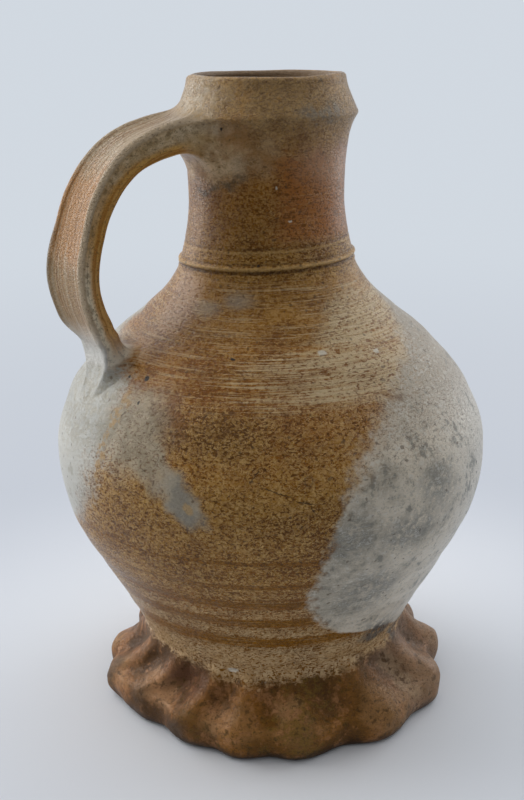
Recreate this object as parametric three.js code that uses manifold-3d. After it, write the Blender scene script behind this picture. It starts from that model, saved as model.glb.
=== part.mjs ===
// Salt-glazed stoneware jug: a thrown vessel, a finger-pressed frilled foot luted round its base, and a pulled
// strap handle luted to the neck flange and the shoulder. Millimetres, +Z up. The origin is the centre of the
// base on the table, and the handle points along -X.
import * as THREE from "three";
import { mergeVertices } from "three/addons/utils/BufferGeometryUtils.js";
import Module from "manifold-3d";

const wasm = await Module();
wasm.setup();

// Outside of the thrown vessel.
const rimHeight = 240;
const rimRadius = 28.9;
const neckWaistHeight = 198;
const neckWaistRadius = 28.6;
const neckFootHeight = 174;
const neckFootRadius = 32.7;
const bellyHeight = 107;
const bellyRadius = 82;
const waistHeight = 27;
const waistRadius = 51.7;
const baseRadius = 49;
const baseEdgeRounding = 1.5;

// How the wall swells between those heights: share of the way up, then share of the change in radius.
const bellyRise = [
  [0.1, 0.09],
  [0.41, 0.5],
  [0.71, 0.88],
];
const shoulderFall = [
  [0.28, 0.13],
  [0.55, 0.42],
  [0.73, 0.71],
  [0.87, 0.9],
];

// Ridges thrown on the outside: the pulled flange under the rim and the cordon at the foot of the neck.
const flangeDrop = 13.7;
const flangeProjection = 4.4;
const flangeRunBelow = 8.4;
const flangeRunAbove = 8.4;
const cordonRise = 2.4;
const cordonProjection = 1.2;
const cordonHalfWidth = 2;

// Thickness of the clay.
const floorThickness = 8;
const bellyWall = 5;
const neckWall = 4;
const lipThickness = 3.4;
const insideCorner = 9;

// Frilled foot: azimuth of each pressed lobe in degrees round +Z from +X, and its reach as a share of lobeRadius.
const lobes = [
  [0.5, 0.997],
  [24.5, 1],
  [47.5, 0.991],
  [71.5, 1.001],
  [95.5, 0.994],
  [122, 1],
  [149.5, 1.003],
  [169.5, 1.009],
  [188.5, 0.997],
  [213.5, 0.988],
  [232.5, 1.009],
  [252.5, 1.012],
  [283.5, 0.985],
  [315.5, 1.009],
  [338.5, 0.994],
];
const lobeRadius = 68.8;
const footHeight = 29;
const valleyRadius = 61.5;
const tipHeight = 8;
const footEdgeRounding = 4;
const footLipWidth = 0.9;
const thumbPressDepth = 2.6;

// Strap handle: two elliptical bends that meet at the bow, and a tail that runs down the shoulder.
const handleTopBelowFlange = 0.8;
const handleReach = 74.2;
const bowHeight = 175;
const lowerBendDepth = 36;
const lowerBendFall = 38.5;
const handleFootHeight = 144.5;
const footStandoff = 2.7;
const tailLength = 27;
const tailStandoff = 0.8;
const rootDepth = 5.5;
const handleSideOffset = 6;
const strapRootWidth = 36;
const strapWidth = 26;
const strapBowWidth = 33;
const strapFootWidth = 25;
const tailWidth = 13;
const strapTopThickness = 11;
const strapBowThickness = 8.8;
const strapFootThickness = 7.8;
const tailThickness = 1.8;
const channelDepth = 1.6;

// Clay smeared out over the flange where the strap is pressed on.
const neckPadHalfArc = 40;
const neckPadHalfHeight = 13;
const neckPadThickness = 3.6;
const padEdge = 0.4;
const padDepth = 1;

// The joints between the lumps of clay are drawn as a thin open line.
const lutingGap = 0.3;

// What cutting leaves behind: corners this close become one, and flat spots this shallow are straightened.
const cornerMerge = 0.1;
const sliverHeight = 0.05;

// Fineness of the faces.
const turnSteps = 64;
const outsideStep = 8;
const insideStep = 15;
const stepsPerLobe = 8;
const strapSteps = 34;
const sectionSteps = 16;
const padSteps = 24;
const padRings = 5;

const flangeHeight = rimHeight - flangeDrop;
const cordonHeight = neckFootHeight + cordonRise;

// A smooth curve through [place, value] stations that never overshoots between two of them.
function smoothThrough(stations) {
  const last = stations.length - 1;
  const rises = [];
  for (let i = 0; i < last; i += 1) {
    const run = stations[i + 1][0] - stations[i][0];
    rises.push((stations[i + 1][1] - stations[i][1]) / run);
  }
  const slopes = stations.map((station, i) => {
    if (i === 0) return rises[0];
    if (i === last) return rises[last - 1];
    if (rises[i - 1] * rises[i] <= 0) return 0;
    return (2 * rises[i - 1] * rises[i]) / (rises[i - 1] + rises[i]);
  });
  return (place) => {
    let i = 0;
    while (i < last - 1 && place > stations[i + 1][0]) i += 1;
    const run = stations[i + 1][0] - stations[i][0];
    const u = THREE.MathUtils.clamp((place - stations[i][0]) / run, 0, 1);
    const from = stations[i][1] * (2 * u ** 3 - 3 * u ** 2 + 1) + slopes[i] * run * (u ** 3 - 2 * u ** 2 + u);
    const to = stations[i + 1][1] * (3 * u ** 2 - 2 * u ** 3) + slopes[i + 1] * run * (u ** 3 - u ** 2);
    return from + to;
  };
}

function between(low, high, shares) {
  return shares.map(([place, value]) => [
    low[0] + place * (high[0] - low[0]),
    low[1] + value * (high[1] - low[1]),
  ]);
}

const waist = [waistHeight, waistRadius];
const belly = [bellyHeight, bellyRadius];
const neckFoot = [neckFootHeight, neckFootRadius];
const plainRadius = smoothThrough([
  [0, baseRadius],
  waist,
  ...between(waist, belly, bellyRise),
  belly,
  ...between(belly, neckFoot, shoulderFall),
  neckFoot,
  [neckWaistHeight, neckWaistRadius],
  [rimHeight, rimRadius],
]);

function flangeBulge(height) {
  const above = height - flangeHeight;
  if (above < 0) return flangeProjection * Math.exp(above / flangeRunBelow);
  return flangeProjection * Math.max(0, 1 - above / flangeRunAbove);
}

function cordonBulge(height) {
  const off = Math.abs(height - cordonHeight) / cordonHalfWidth;
  return off < 1 ? cordonProjection * Math.sqrt(1 - off ** 2) : 0;
}

// The outside of the vessel, ridges and all.
function wallRadius(height) {
  return plainRadius(height) + flangeBulge(height) + cordonBulge(height);
}

function evenHeights(low, high, step) {
  const count = Math.ceil((high - low) / step);
  return Array.from({ length: count - 1 }, (_, i) => low + ((high - low) * (i + 1)) / count);
}

// Heights at which the outside is drawn: even steps, with closer ones at the ridges and the foot's upper edge.
function outsideHeights(low, high) {
  const ridges = [flangeHeight, cordonHeight, waistHeight, footHeight];
  for (const share of [-1, -0.6, 0.6, 1]) ridges.push(cordonHeight + share * cordonHalfWidth);
  for (const share of [-0.5, -0.2, 0.5]) ridges.push(flangeHeight + share * flangeRunAbove);
  const clear = (height) => ridges.every((ridge) => Math.abs(ridge - height) > outsideStep / 4);
  const heights = ridges.concat(evenHeights(0, rimHeight, outsideStep).filter(clear));
  return heights.filter((height) => height > low && height < high).sort((a, b) => a - b);
}

function wallNormal(height) {
  const step = 0.5;
  const slope = (plainRadius(height + step) - plainRadius(height - step)) / (2 * step);
  return new THREE.Vector2(1, -slope).normalize();
}

const clayAt = smoothThrough([
  [0, bellyWall],
  [bellyHeight, bellyWall],
  [neckFootHeight, neckWall],
  [rimHeight, lipThickness],
]);

// The inside of the vessel at the place that faces the plain outside at this height.
function insidePoint(height) {
  const normal = wallNormal(height).multiplyScalar(clayAt(height));
  return new THREE.Vector2(plainRadius(height) - normal.x, height - normal.y);
}

function turned(profile) {
  return new THREE.LatheGeometry(profile, turnSteps).rotateX(Math.PI / 2);
}

function thrownVessel() {
  const profile = [new THREE.Vector2(0, 0)];
  profile.push(new THREE.Vector2(baseRadius - baseEdgeRounding, 0));
  profile.push(new THREE.Vector2(wallRadius(baseEdgeRounding), baseEdgeRounding));
  for (const height of outsideHeights(baseEdgeRounding, rimHeight)) {
    if (height < rimHeight - lipThickness / 2) {
      profile.push(new THREE.Vector2(wallRadius(height), height));
    }
  }
  const lipCentre = new THREE.Vector2(rimRadius - lipThickness / 2, rimHeight - lipThickness / 2);
  for (const turn of [0, 45, 90, 135, 180]) {
    const angle = THREE.MathUtils.degToRad(turn);
    const onLip = new THREE.Vector2(Math.cos(angle), Math.sin(angle)).multiplyScalar(lipThickness / 2);
    profile.push(onLip.add(lipCentre));
  }
  const insideLow = floorThickness + insideCorner;
  for (const height of evenHeights(insideLow, rimHeight - lipThickness, insideStep).reverse()) {
    profile.push(insidePoint(height));
  }
  const corner = insidePoint(insideLow);
  for (const turn of [0, 30, 60, 90]) {
    const angle = THREE.MathUtils.degToRad(turn);
    const across = corner.x - insideCorner * (1 - Math.cos(angle));
    profile.push(new THREE.Vector2(across, floorThickness + (corner.y - floorThickness) * (1 - Math.sin(angle))));
  }
  profile.push(new THREE.Vector2(0, floorThickness));
  return turned(profile);
}

// The vessel as one filled lump, grown by the gap of a luted joint. What is pressed on the pot is cut back to it.
function pressedAgainst() {
  const low = -lutingGap;
  const high = rimHeight + lutingGap;
  const profile = [new THREE.Vector2(0, low)];
  profile.push(new THREE.Vector2(baseRadius + lutingGap, low));
  for (const height of outsideHeights(0, rimHeight)) {
    const normal = wallNormal(height).multiplyScalar(lutingGap);
    profile.push(new THREE.Vector2(wallRadius(height) + normal.x, height + normal.y));
  }
  profile.push(new THREE.Vector2(rimRadius + lutingGap, high));
  profile.push(new THREE.Vector2(0, high));
  return turned(profile);
}

// Rings of equally many points joined into one skin, either round into a loop or with both ends closed.
function skinOver(rings, loop) {
  const size = rings[0].length;
  const places = rings.flat().flatMap((point) => point.toArray());
  const corners = [];
  const spans = loop ? rings.length : rings.length - 1;
  for (let i = 0; i < spans; i += 1) {
    const next = (i + 1) % rings.length;
    for (let j = 0; j < size; j += 1) {
      const k = (j + 1) % size;
      corners.push(i * size + j, next * size + j, next * size + k);
      corners.push(i * size + j, next * size + k, i * size + k);
    }
  }
  if (!loop) {
    const end = (rings.length - 1) * size;
    for (let j = 1; j < size - 1; j += 1) {
      corners.push(0, j, j + 1);
      corners.push(end, end + j + 1, end + j);
    }
  }
  const skin = new THREE.BufferGeometry();
  skin.setAttribute("position", new THREE.Float32BufferAttribute(places, 3));
  skin.setIndex(corners);
  return skin;
}

function aroundAxis(radius, azimuth, height) {
  return new THREE.Vector3(radius * Math.cos(azimuth), radius * Math.sin(azimuth), height);
}

// One section through the foot, from the luted top edge down over the frill, along the table and up the wall.
function footSection(azimuth, tipRadius, press) {
  const wallTop = wallRadius(footHeight) + lutingGap;
  const top = new THREE.Vector2(wallTop + footLipWidth, footHeight);
  const reach = tipRadius - top.x;
  const fall = footHeight - tipHeight;
  const slope = new THREE.CubicBezierCurve(
    top,
    new THREE.Vector2(top.x + 0.05 * reach, footHeight - 0.45 * fall),
    new THREE.Vector2(tipRadius, tipHeight + 0.45 * fall),
    new THREE.Vector2(tipRadius, tipHeight),
  );
  const outline = slope.getPoints(7);
  outline.forEach((point, i) => {
    const along = i / (outline.length - 1);
    point.x -= press * thumbPressDepth * 4 * along * (1 - along);
  });
  for (const turn of [35, 65, 90]) {
    const angle = THREE.MathUtils.degToRad(turn);
    const inward = footEdgeRounding * (1 - Math.cos(angle));
    outline.push(new THREE.Vector2(tipRadius - inward, tipHeight * (1 - Math.sin(angle))));
  }
  for (const height of [0, ...outsideHeights(0, footHeight), footHeight]) {
    outline.push(new THREE.Vector2(wallRadius(height) + lutingGap, height));
  }
  return outline.reverse().map((point) => aroundAxis(point.x, azimuth, point.y));
}

function frilledFoot() {
  const rings = [];
  lobes.forEach(([azimuth, reachShare], i) => {
    const [nextAzimuth, nextShare] = lobes[(i + 1) % lobes.length];
    const span = THREE.MathUtils.euclideanModulo(nextAzimuth - azimuth, 360);
    for (let step = 0; step < stepsPerLobe; step += 1) {
      const along = step / stepsPerLobe;
      const tip = lobeRadius * (along < 0.5 ? reachShare : nextShare);
      const crest = (0.5 + 0.5 * Math.cos(2 * Math.PI * along)) ** 0.8;
      const radius = valleyRadius + (tip - valleyRadius) * crest;
      const turn = THREE.MathUtils.degToRad(azimuth + span * along);
      rings.push(footSection(turn, radius, 1 - crest));
    }
  });
  return skinOver(rings, true);
}

// The strap's centre line as (reach, height), from inside the neck wall round the bow to the end of its tail.
function strapRoute() {
  const topHeight = flangeHeight - handleTopBelowFlange;
  const rootReach = wallRadius(topHeight) - rootDepth;
  const places = [];
  for (const turn of [90, 72, 54, 36, 18, 0]) {
    const angle = THREE.MathUtils.degToRad(turn);
    const across = (handleReach - rootReach) * Math.cos(angle);
    places.push(new THREE.Vector2(rootReach + across, bowHeight + (topHeight - bowHeight) * Math.sin(angle)));
  }
  for (const turn of [15, 31]) {
    const angle = THREE.MathUtils.degToRad(turn);
    const inward = lowerBendDepth * (1 - Math.cos(angle));
    places.push(new THREE.Vector2(handleReach - inward, bowHeight - lowerBendFall * Math.sin(angle)));
  }
  places.push(new THREE.Vector2(wallRadius(handleFootHeight) + footStandoff, handleFootHeight));
  for (const share of [0.27, 0.62, 1]) {
    const height = handleFootHeight - share * tailLength;
    places.push(new THREE.Vector2(wallRadius(height) + tailStandoff * (1 - share), height));
  }
  return new THREE.SplineCurve(places);
}

const route = strapRoute();
const bowShare = 5 / (route.points.length - 1);
const footShare = 8 / (route.points.length - 1);
const strapWidthAt = smoothThrough([
  [0, strapRootWidth],
  [0.35 * bowShare, strapWidth],
  [0.85 * bowShare, strapWidth],
  [0.5 * (bowShare + footShare), strapBowWidth],
  [footShare, strapFootWidth],
  [1, tailWidth],
]);
const strapThicknessAt = smoothThrough([
  [0, strapTopThickness],
  [bowShare, strapBowThickness],
  [footShare, strapFootThickness],
  [1, tailThickness],
]);

// The strap's section: a rounded bar whose outer face is hollowed between two edge ridges. The hollow runs out
// along the tail.
function strapRing(along) {
  const place = route.getPoint(along);
  const step = 0.002;
  const onward = route.getPoint(Math.min(1, along + step)).sub(route.getPoint(Math.max(0, along - step)));
  const outward = new THREE.Vector2(-onward.y, onward.x).normalize();
  const halfWidth = strapWidthAt(along) / 2;
  const halfThickness = strapThicknessAt(along) / 2;
  const body = (2 * halfThickness - tailThickness) / (strapFootThickness - tailThickness);
  const channel = channelDepth * Math.min(1, body);
  const ring = [];
  for (let i = 0; i < sectionSteps; i += 1) {
    const angle = (2 * Math.PI * i) / sectionSteps;
    const across = Math.sign(Math.cos(angle)) * Math.abs(Math.cos(angle)) ** 0.55;
    const out = Math.sign(Math.sin(angle)) * Math.abs(Math.sin(angle)) ** 0.55;
    const hollow = out > 0 ? channel * (1 - across ** 2) : 0;
    const point = place.clone().addScaledVector(outward, halfThickness * out - hollow);
    const sideways = halfWidth * across + handleSideOffset * (along / footShare - 0.5);
    ring.push(new THREE.Vector3(-point.x, sideways, point.y));
  }
  return ring;
}

function strap() {
  const rings = [];
  for (let i = 0; i <= strapSteps; i += 1) rings.push(strapRing(i / strapSteps));
  return skinOver(rings, false);
}

// A lens of clay smeared over the flange round the root of the strap.
function smearedPad() {
  const height = flangeHeight - handleTopBelowFlange;
  const middle = Math.PI + handleSideOffset / 2 / wallRadius(height);
  const layers = [];
  for (let ring = 1; ring <= padRings; ring += 1) {
    const share = ring / padRings;
    layers.push([share, lutingGap + padEdge + neckPadThickness * (1 - share ** 2) ** 1.5]);
  }
  layers.push([1, -padDepth]);
  layers.push([1 / padRings, -padDepth]);
  const rings = layers.map(([share, proud]) => {
    const points = [];
    for (let step = 0; step < padSteps; step += 1) {
      const turn = (2 * Math.PI * step) / padSteps;
      const place = height + neckPadHalfHeight * share * Math.sin(turn);
      const azimuth = middle + THREE.MathUtils.degToRad(neckPadHalfArc) * share * Math.cos(turn);
      points.push(aroundAxis(wallRadius(place) + proud, azimuth, place));
    }
    return points;
  });
  return skinOver(rings, false);
}

function solidOf(geometry, mergeDistance = 1e-4) {
  const bare = geometry.clone();
  bare.deleteAttribute("normal");
  bare.deleteAttribute("uv");
  const merged = mergeVertices(bare, mergeDistance);
  const corners = merged.index.array;
  const kept = [];
  for (let i = 0; i < corners.length; i += 3) {
    const [a, b, c] = corners.slice(i, i + 3);
    if (a !== b && b !== c && c !== a) kept.push(a, b, c);
  }
  const mesh = new wasm.Mesh({
    numProp: 3,
    vertProperties: new Float32Array(merged.attributes.position.array),
    triVerts: new Uint32Array(kept),
  });
  return new wasm.Manifold(mesh);
}

function geometryOf(solid) {
  const mesh = solid.getMesh();
  const geometry = new THREE.BufferGeometry();
  geometry.setAttribute("position", new THREE.BufferAttribute(mesh.vertProperties, 3));
  geometry.setIndex(new THREE.BufferAttribute(mesh.triVerts, 1));
  geometry.computeVertexNormals();
  return geometry;
}

function strapHandle() {
  const joined = solidOf(strap()).add(solidOf(smearedPad()));
  const cut = joined.subtract(solidOf(pressedAgainst()));
  return geometryOf(solidOf(geometryOf(cut), cornerMerge).simplify(sliverHeight));
}

const saltGlaze = new THREE.MeshStandardMaterial({ color: 0x8a6a3c, roughness: 0.42, metalness: 0 });
const bareClay = new THREE.MeshStandardMaterial({ color: 0x5f4630, roughness: 0.6, metalness: 0 });
const paleGlaze = new THREE.MeshStandardMaterial({ color: 0x9c8a6c, roughness: 0.45, metalness: 0 });

function piece(name, geometry, material) {
  const mesh = new THREE.Mesh(geometry, material);
  mesh.name = name;
  return mesh;
}

const jug = new THREE.Group();
jug.add(piece("thrown_vessel", thrownVessel(), saltGlaze));
jug.add(piece("frilled_foot", frilledFoot(), bareClay));
jug.add(piece("strap_handle", strapHandle(), paleGlaze));

export default jug;
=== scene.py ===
"""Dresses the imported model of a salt-glazed jug: glazed wall, finger-pressed foot and pulled handle.

Everything is in metres, with +Z up, the base on the table at the origin and the handle towards -X.
Turns round the pot are in degrees, counted to the right from the side that faces the viewer.
"""

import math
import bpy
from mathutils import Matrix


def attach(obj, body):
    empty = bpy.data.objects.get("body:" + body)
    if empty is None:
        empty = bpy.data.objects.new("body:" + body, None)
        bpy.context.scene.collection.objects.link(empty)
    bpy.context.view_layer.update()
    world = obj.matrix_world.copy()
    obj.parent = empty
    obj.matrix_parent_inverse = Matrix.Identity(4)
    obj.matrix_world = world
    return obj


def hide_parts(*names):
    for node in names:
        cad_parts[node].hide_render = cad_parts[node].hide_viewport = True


bl_info = {
    "name": "Salt-Glazed Stoneware Jug",
    "version": (1, 0, 0),
    "blender": (4, 5, 0),
    "location": "View3D > Sidebar > Jug",
    "description": "Throws, presses, glazes and lights a salt-glazed stoneware jug round its packed frame",
    "category": "Add Mesh",
}

import bpy
import numpy as np
from bpy.props import FloatProperty, FloatVectorProperty, IntProperty, PointerProperty
from bpy.types import Operator, Panel, PropertyGroup
from mathutils import Matrix, Vector

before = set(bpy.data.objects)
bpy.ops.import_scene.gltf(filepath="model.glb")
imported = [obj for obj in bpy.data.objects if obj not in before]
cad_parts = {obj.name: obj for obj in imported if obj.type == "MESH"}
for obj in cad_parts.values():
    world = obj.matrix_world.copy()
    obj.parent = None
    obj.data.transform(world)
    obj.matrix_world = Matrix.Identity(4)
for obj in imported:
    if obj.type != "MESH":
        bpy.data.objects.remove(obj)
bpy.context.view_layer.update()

MM = 0.001
# Scale of a place in which an oval twice as wide as high is round.
FLATTENED = np.array([1.0, 1.0, 2.0])
# The side that faces the viewer, as a turn round +Z from +X.
FRONT = math.radians(-115.5)
# The handle's turn round +Z from +X.
HANDLE = math.pi
# Where the soft boxes are aimed at.
BELLY_MIDDLE = Vector((0.0, 0.0, 0.13))
# Spans of the shader's curves: heights and turns.
HEIGHTS = (0.0, 0.25)
TURNS = (-180.0, 180.0)
# Places at which a line is measured before it is parted evenly.
FINE_STEPS = 4000
# Soft boxes: place as right, back and up of the pot as the camera sees it, then width and height.
LEFT_BOX = ((-0.62, 0.26, 0.42), (0.75, 0.95))
RIGHT_BOX = ((0.62, 0.4, 0.42), (0.6, 0.9))
# Half the floor's width, and its level a hair under the base.
FLOOR_HALF = 12.0
FLOOR_LEVEL = -0.0002
# Height at which the glaze ends over the bare foot.
GLAZE_EDGE = 0.0255
# How strongly the glaze mirrors, and the heights of its relief.
SPECULAR = 0.26
NET_RELIEF = 0.00011
GRAIN_RELIEF = 0.00005
FLECK_RELIEF = 0.0002
BUBBLE_RELIEF = 0.0002

# How the wall swells between its main heights: share of the way up, then share of the change in radius.
BELLY_RISE = ((0.1, 0.09), (0.41, 0.5), (0.71, 0.88))
SHOULDER_FALL = ((0.28, 0.13), (0.55, 0.42), (0.73, 0.71), (0.87, 0.9))

# Each pressed lobe of the foot: turn round +Z from +X in degrees, reach in millimetres, how far its crest
# leans at the top in degrees, how hollow its profile is, then reach and depth of the thumb mark after it.
LOBES = (
    (0.5, 68.6, -4.0, 0.45, 64.0, 3.4), (24.5, 68.8, 3.0, 0.45, 63.5, 3.0),
    (47.5, 68.2, -5.0, 0.42, 64.2, 3.6), (71.5, 68.9, 4.0, 0.48, 63.6, 3.2),
    (95.5, 68.4, -3.0, 0.42, 64.0, 3.4), (122.0, 68.6, 6.0, 0.52, 61.6, 3.0),
    (152.5, 67.4, 8.0, 0.66, 64.6, 2.6), (169.5, 69.2, 11.0, 0.6, 67.2, 5.4),
    (188.5, 66.2, 15.0, 0.5, 62.7, 6.8), (213.5, 66.2, 8.0, 0.45, 65.0, 5.2),
    (232.5, 68.4, 2.0, 0.44, 66.4, 3.0), (252.5, 69.0, -2.0, 0.42, 65.2, 3.4),
    (283.5, 70.3, -4.0, 0.42, 67.4, 4.6), (312.5, 71.6, -8.0, 0.46, 64.4, 4.8),
    (338.5, 69.2, -7.0, 0.42, 64.0, 3.2),
)

# Middle of the strap as (reach from the axis, height), in millimetres, from the neck to the shoulder.
STRAP_LINE = (
    (27.7, 225.5), (38.6, 222.1), (47.4, 219.5), (55.1, 216.0), (61.1, 210.8), (65.6, 204.7), (69.0, 198.2),
    (71.3, 191.2), (73.1, 183.7), (74.1, 175.0), (72.9, 165.4), (68.9, 155.3), (61.6, 146.0),
)
# Along the strap: share of its length, then width and thickness in millimetres, twist in degrees and how
# far its middle lies to the side away from the viewer, in millimetres.
STRAP_SIZES = (
    (0.0, 29.0, 12.6, 0.0, 0.0), (0.12, 27.2, 11.6, 1.5, 0.0), (0.3, 25.8, 9.6, 5.5, 0.0),
    (0.52, 26.2, 8.4, 8.5, 0.1), (0.64, 28.6, 8.0, 9.0, 1.2), (0.72, 30.4, 7.9, 9.0, 2.0),
    (0.8, 30.2, 8.0, 9.0, 1.9), (0.85, 29.4, 8.3, 9.0, 1.6), (0.875, 28.2, 8.4, 8.0, 0.8),
    (0.91, 24.0, 8.6, 4.5, -1.8), (1.0, 23.6, 8.8, 3.5, -2.4),
)
# Distance between the rows of the wall's mesh by height, outside and inside.
OUTSIDE_STEPS = (
    (0.0, 0.0018), (0.16, 0.0017), (0.169, 0.00042), (0.185, 0.00042), (0.191, 0.0013), (0.215, 0.001),
    (0.222, 0.0007),
)
INSIDE_STEPS = ((0.0, 0.0042), (0.16, 0.0042), (0.2, 0.0036))
# Outline of the strap's upper end on the neck: turn round the strap's section in degrees, then how far
# towards the viewer's side in degrees round the neck, then height.
NECK_PRINT = (
    (0, -43, 0.219), (45, -31, 0.232), (90, 0, 0.2385), (135, 27, 0.2305), (158, 40, 0.2245),
    (180, 49, 0.2165), (202, 46, 0.208), (225, 34, 0.2045), (270, 2, 0.204), (315, -32, 0.206),
)
# Outline of its lower end and tail on the shoulder: turn round the section, then millimetres, then height.
SHOULDER_PRINT = (
    (0, -14.5, 0.144), (45, -13, 0.1215), (90, -2, 0.112), (115, 6, 0.1145), (135, 12, 0.122),
    (155, 16.5, 0.1365), (180, 18, 0.1455), (203, 15.5, 0.15), (225, 9, 0.151), (270, -3, 0.1515),
    (315, -12, 0.1505),
)
# The brown glaze by height over the table.
BANDS = (
    (0.026, "ochre"), (0.041, "ochre"), (0.046, "umber"), (0.051, "ochre"), (0.057, "umber"),
    (0.062, "orange"), (0.067, "umber"), (0.074, "orange"), (0.108, "ochre"), (0.124, "orange"),
    (0.146, "orange"), (0.16, "ochre"), (0.182, "ochre"), (0.196, "umber"), (0.212, "orange"),
    (0.226, "khaki"), (0.24, "khaki"),
)
# How much of the glaze the pale net covers, by height.
NET = (
    (0.0, 0.5), (0.026, 0.85), (0.037, 0.85), (0.045, 0.1), (0.051, 0.62), (0.056, 0.06), (0.061, 0.58),
    (0.066, 0.08), (0.073, 0.5), (0.085, 0.48), (0.112, 0.58), (0.124, 0.46), (0.133, 0.34), (0.142, 0.4),
    (0.168, 0.5), (0.185, 0.46), (0.208, 0.36), (0.222, 0.42), (0.245, 0.45),
)
# Mean outline of the pressed foot: height, then distance from the axis.
FOOT_LINE = (
    (0.0, 0.0665), (0.007, 0.0672), (0.011, 0.065), (0.016, 0.0605), (0.022, 0.0562), (0.031, 0.0525),
)
# Edge of the left pale side: height, then turn in degrees from the front.
PALE_EDGE = (
    (0.06, -100.0), (0.078, -76.0), (0.088, -59.0), (0.098, -53.0), (0.11, -48.0), (0.122, -44.0),
    (0.135, -46.0), (0.146, -56.0), (0.158, -68.0), (0.17, -90.0),
)
# Edge of the right grey side: height, then turn in degrees from the front.
GREY_EDGE = (
    (0.03, 72.0), (0.04, 48.0), (0.047, 24.0), (0.056, 14.5), (0.068, 10.5), (0.087, 12.5), (0.112, 19.0),
    (0.126, 27.0), (0.136, 35.0), (0.151, 64.0), (0.17, 100.0),
)
# Dark blue-grey clouds on the right grey side: turn, height, half sizes across and up.
SLATE_CLOUDS = (
    (45.0, 0.107, 0.009, 0.009), (36.0, 0.092, 0.012, 0.006), (19.0, 0.094, 0.008, 0.008),
    (27.0, 0.068, 0.012, 0.012), (40.0, 0.042, 0.01, 0.005),
)
# Dark amber throwing rings of the lower belly: height and half width.
RINGS = (
    (0.0665, 0.0018), (0.057, 0.002), (0.0458, 0.0024), (0.076, 0.001), (0.0865, 0.0008),
)
# Cracks and scratches: turn, height, half length, half width, slant in degrees.
CRACKS = (
    (1.5, 0.1128, 0.0056, 0.00022, -20.0), (8.0, 0.1092, 0.0034, 0.00026, -14.0),
    (9.5, 0.107, 0.0018, 0.0002, -62.0), (-3.5, 0.1185, 0.0036, 0.00016, 52.0),
)
# Iron spots: turn, height, half size.
IRON_SPOTS = (
    (-42.0, 0.142, 0.0011), (-50.0, 0.141, 0.0007), (-63.0, 0.144, 0.0008), (-40.0, 0.135, 0.0006),
    (-13.0, 0.15, 0.0007), (-28.0, 0.224, 0.0006), (-38.0, 0.2205, 0.0004), (-20.0, 0.215, 0.0004),
    (-6.0, 0.1775, 0.0006), (66.0, 0.104, 0.0008),
)
# Chips and bare specks: turn, height, half sizes across and up.
CHIPS = (
    (20.0, 0.151, 0.0016, 0.0008), (42.0, 0.149, 0.0012, 0.0006), (7.0, 0.204, 0.0005, 0.0005),
    (16.0, 0.192, 0.0008, 0.0004), (-17.0, 0.0285, 0.002, 0.001), (-4.0, 0.0245, 0.0016, 0.0008),
    (16.0, 0.0225, 0.0009, 0.0009),
)

# Ovals on the pot: turn and height of the middle, half sizes across and up, softness, slant, fine edge.
SPOTS = {
    "neck_smear": (-44.0, 0.2155, 0.0215, 0.0105, 1.0, -4.0),
    "dark_belly": (-13.0, 0.129, 0.015, 0.0075, 1.4),
    # The next two are painted highlights: the pinkish reflection of the left soft box on the shoulder and on
    # the neck.
    "shoulder_highlight": (-52.0, 0.163, 0.008, 0.013, 1.0, 20.0),
    "neck_highlight": (-58.0, 0.192, 0.004, 0.016, 1.2),
    "near_blot": (-16.0, 0.166, 0.005, 0.0025, 1.4, 0.0, True),
    "left_blot": (-33.0, 0.163, 0.005, 0.0025, 1.4, 0.0, True),
    # The first spot below is painted light on the right of the neck, where the right soft box falls.
    "neck_right_light": (50.0, 0.211, 0.013, 0.0065, 1.4), "pale_cloud": (-38.5, 0.1275, 0.015, 0.015, 1.0),
    "pale_run": (-30.0, 0.1165, 0.0065, 0.0085, 0.9, 34.0),
    "rust_line": (-46.5, 0.122, 0.0018, 0.024, 1.2, -6.0),
    "slate_run": (-22.0, 0.1092, 0.005, 0.0112, 0.9, 38.0),
    "run_scar": (-19.5, 0.106, 0.0015, 0.0023, 0.6, 38.0, True),
    "warm_neck": (-21.0, 0.2215, 0.0065, 0.0065, 1.2), "warm_smear": (-6.0, 0.213, 0.007, 0.0035, 1.2),
    # The next two are painted highlights where the left soft box catches the rim and the flange.
    "rim_highlight": (-60.0, 0.2335, 0.014, 0.007, 1.2),
    "flange_highlight": (-40.0, 0.2265, 0.009, 0.003, 1.2, -14.0),
    # The next spot and the first on the line after it are painted shadow under the lower edge of the smear on
    # the neck.
    "smear_edge": (-32.0, 0.2045, 0.0085, 0.0015, 1.2, 14.0),
    "smear_corner_shadow": (-51.0, 0.201, 0.0032, 0.0016, 1.0), "flange_smoke": (38.0, 0.229, 0.0095, 0.0028, 1.0),
    "foot_purple": (-38.0, 0.0205, 0.01, 0.005, 1.4), "foot_run": (54.0, 0.015, 0.0038, 0.0125, 1.0, 6.0),
    "soot_line": (44.0, 0.0395, 0.008, 0.004, 1.0), "soot_drop": (61.0, 0.033, 0.0045, 0.0045, 1.0),
    "bubble_rim": (9.0, 0.116, 0.0018, 0.0018, 0.4, 0.0, True),
    "bubble_hole": (9.0, 0.116, 0.0012, 0.0012, 0.5, 0.0, True),
}
# Painted shadows in the hollows of the foot's lobes, then painted light on their lit faces: turn, height,
# half size, softness, share.
FOOT_SHADOWS = (
    (-74.0, 0.009, 0.006, 1.2, 1.0), (-53.0, 0.012, 0.0055, 1.2, 1.0), (-34.0, 0.006, 0.0055, 1.2, 1.0),
)
# Painted light on the lit faces of the lobes.
FOOT_LIT = (
    (-44.5, 0.0155, 0.0055, 1.2, 1.0), (-20.0, 0.0135, 0.006, 1.4, 0.7), (5.0, 0.018, 0.004, 1.4, 0.6),
    (-52.0, 0.0165, 0.0055, 1.4, 0.8),
)
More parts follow.
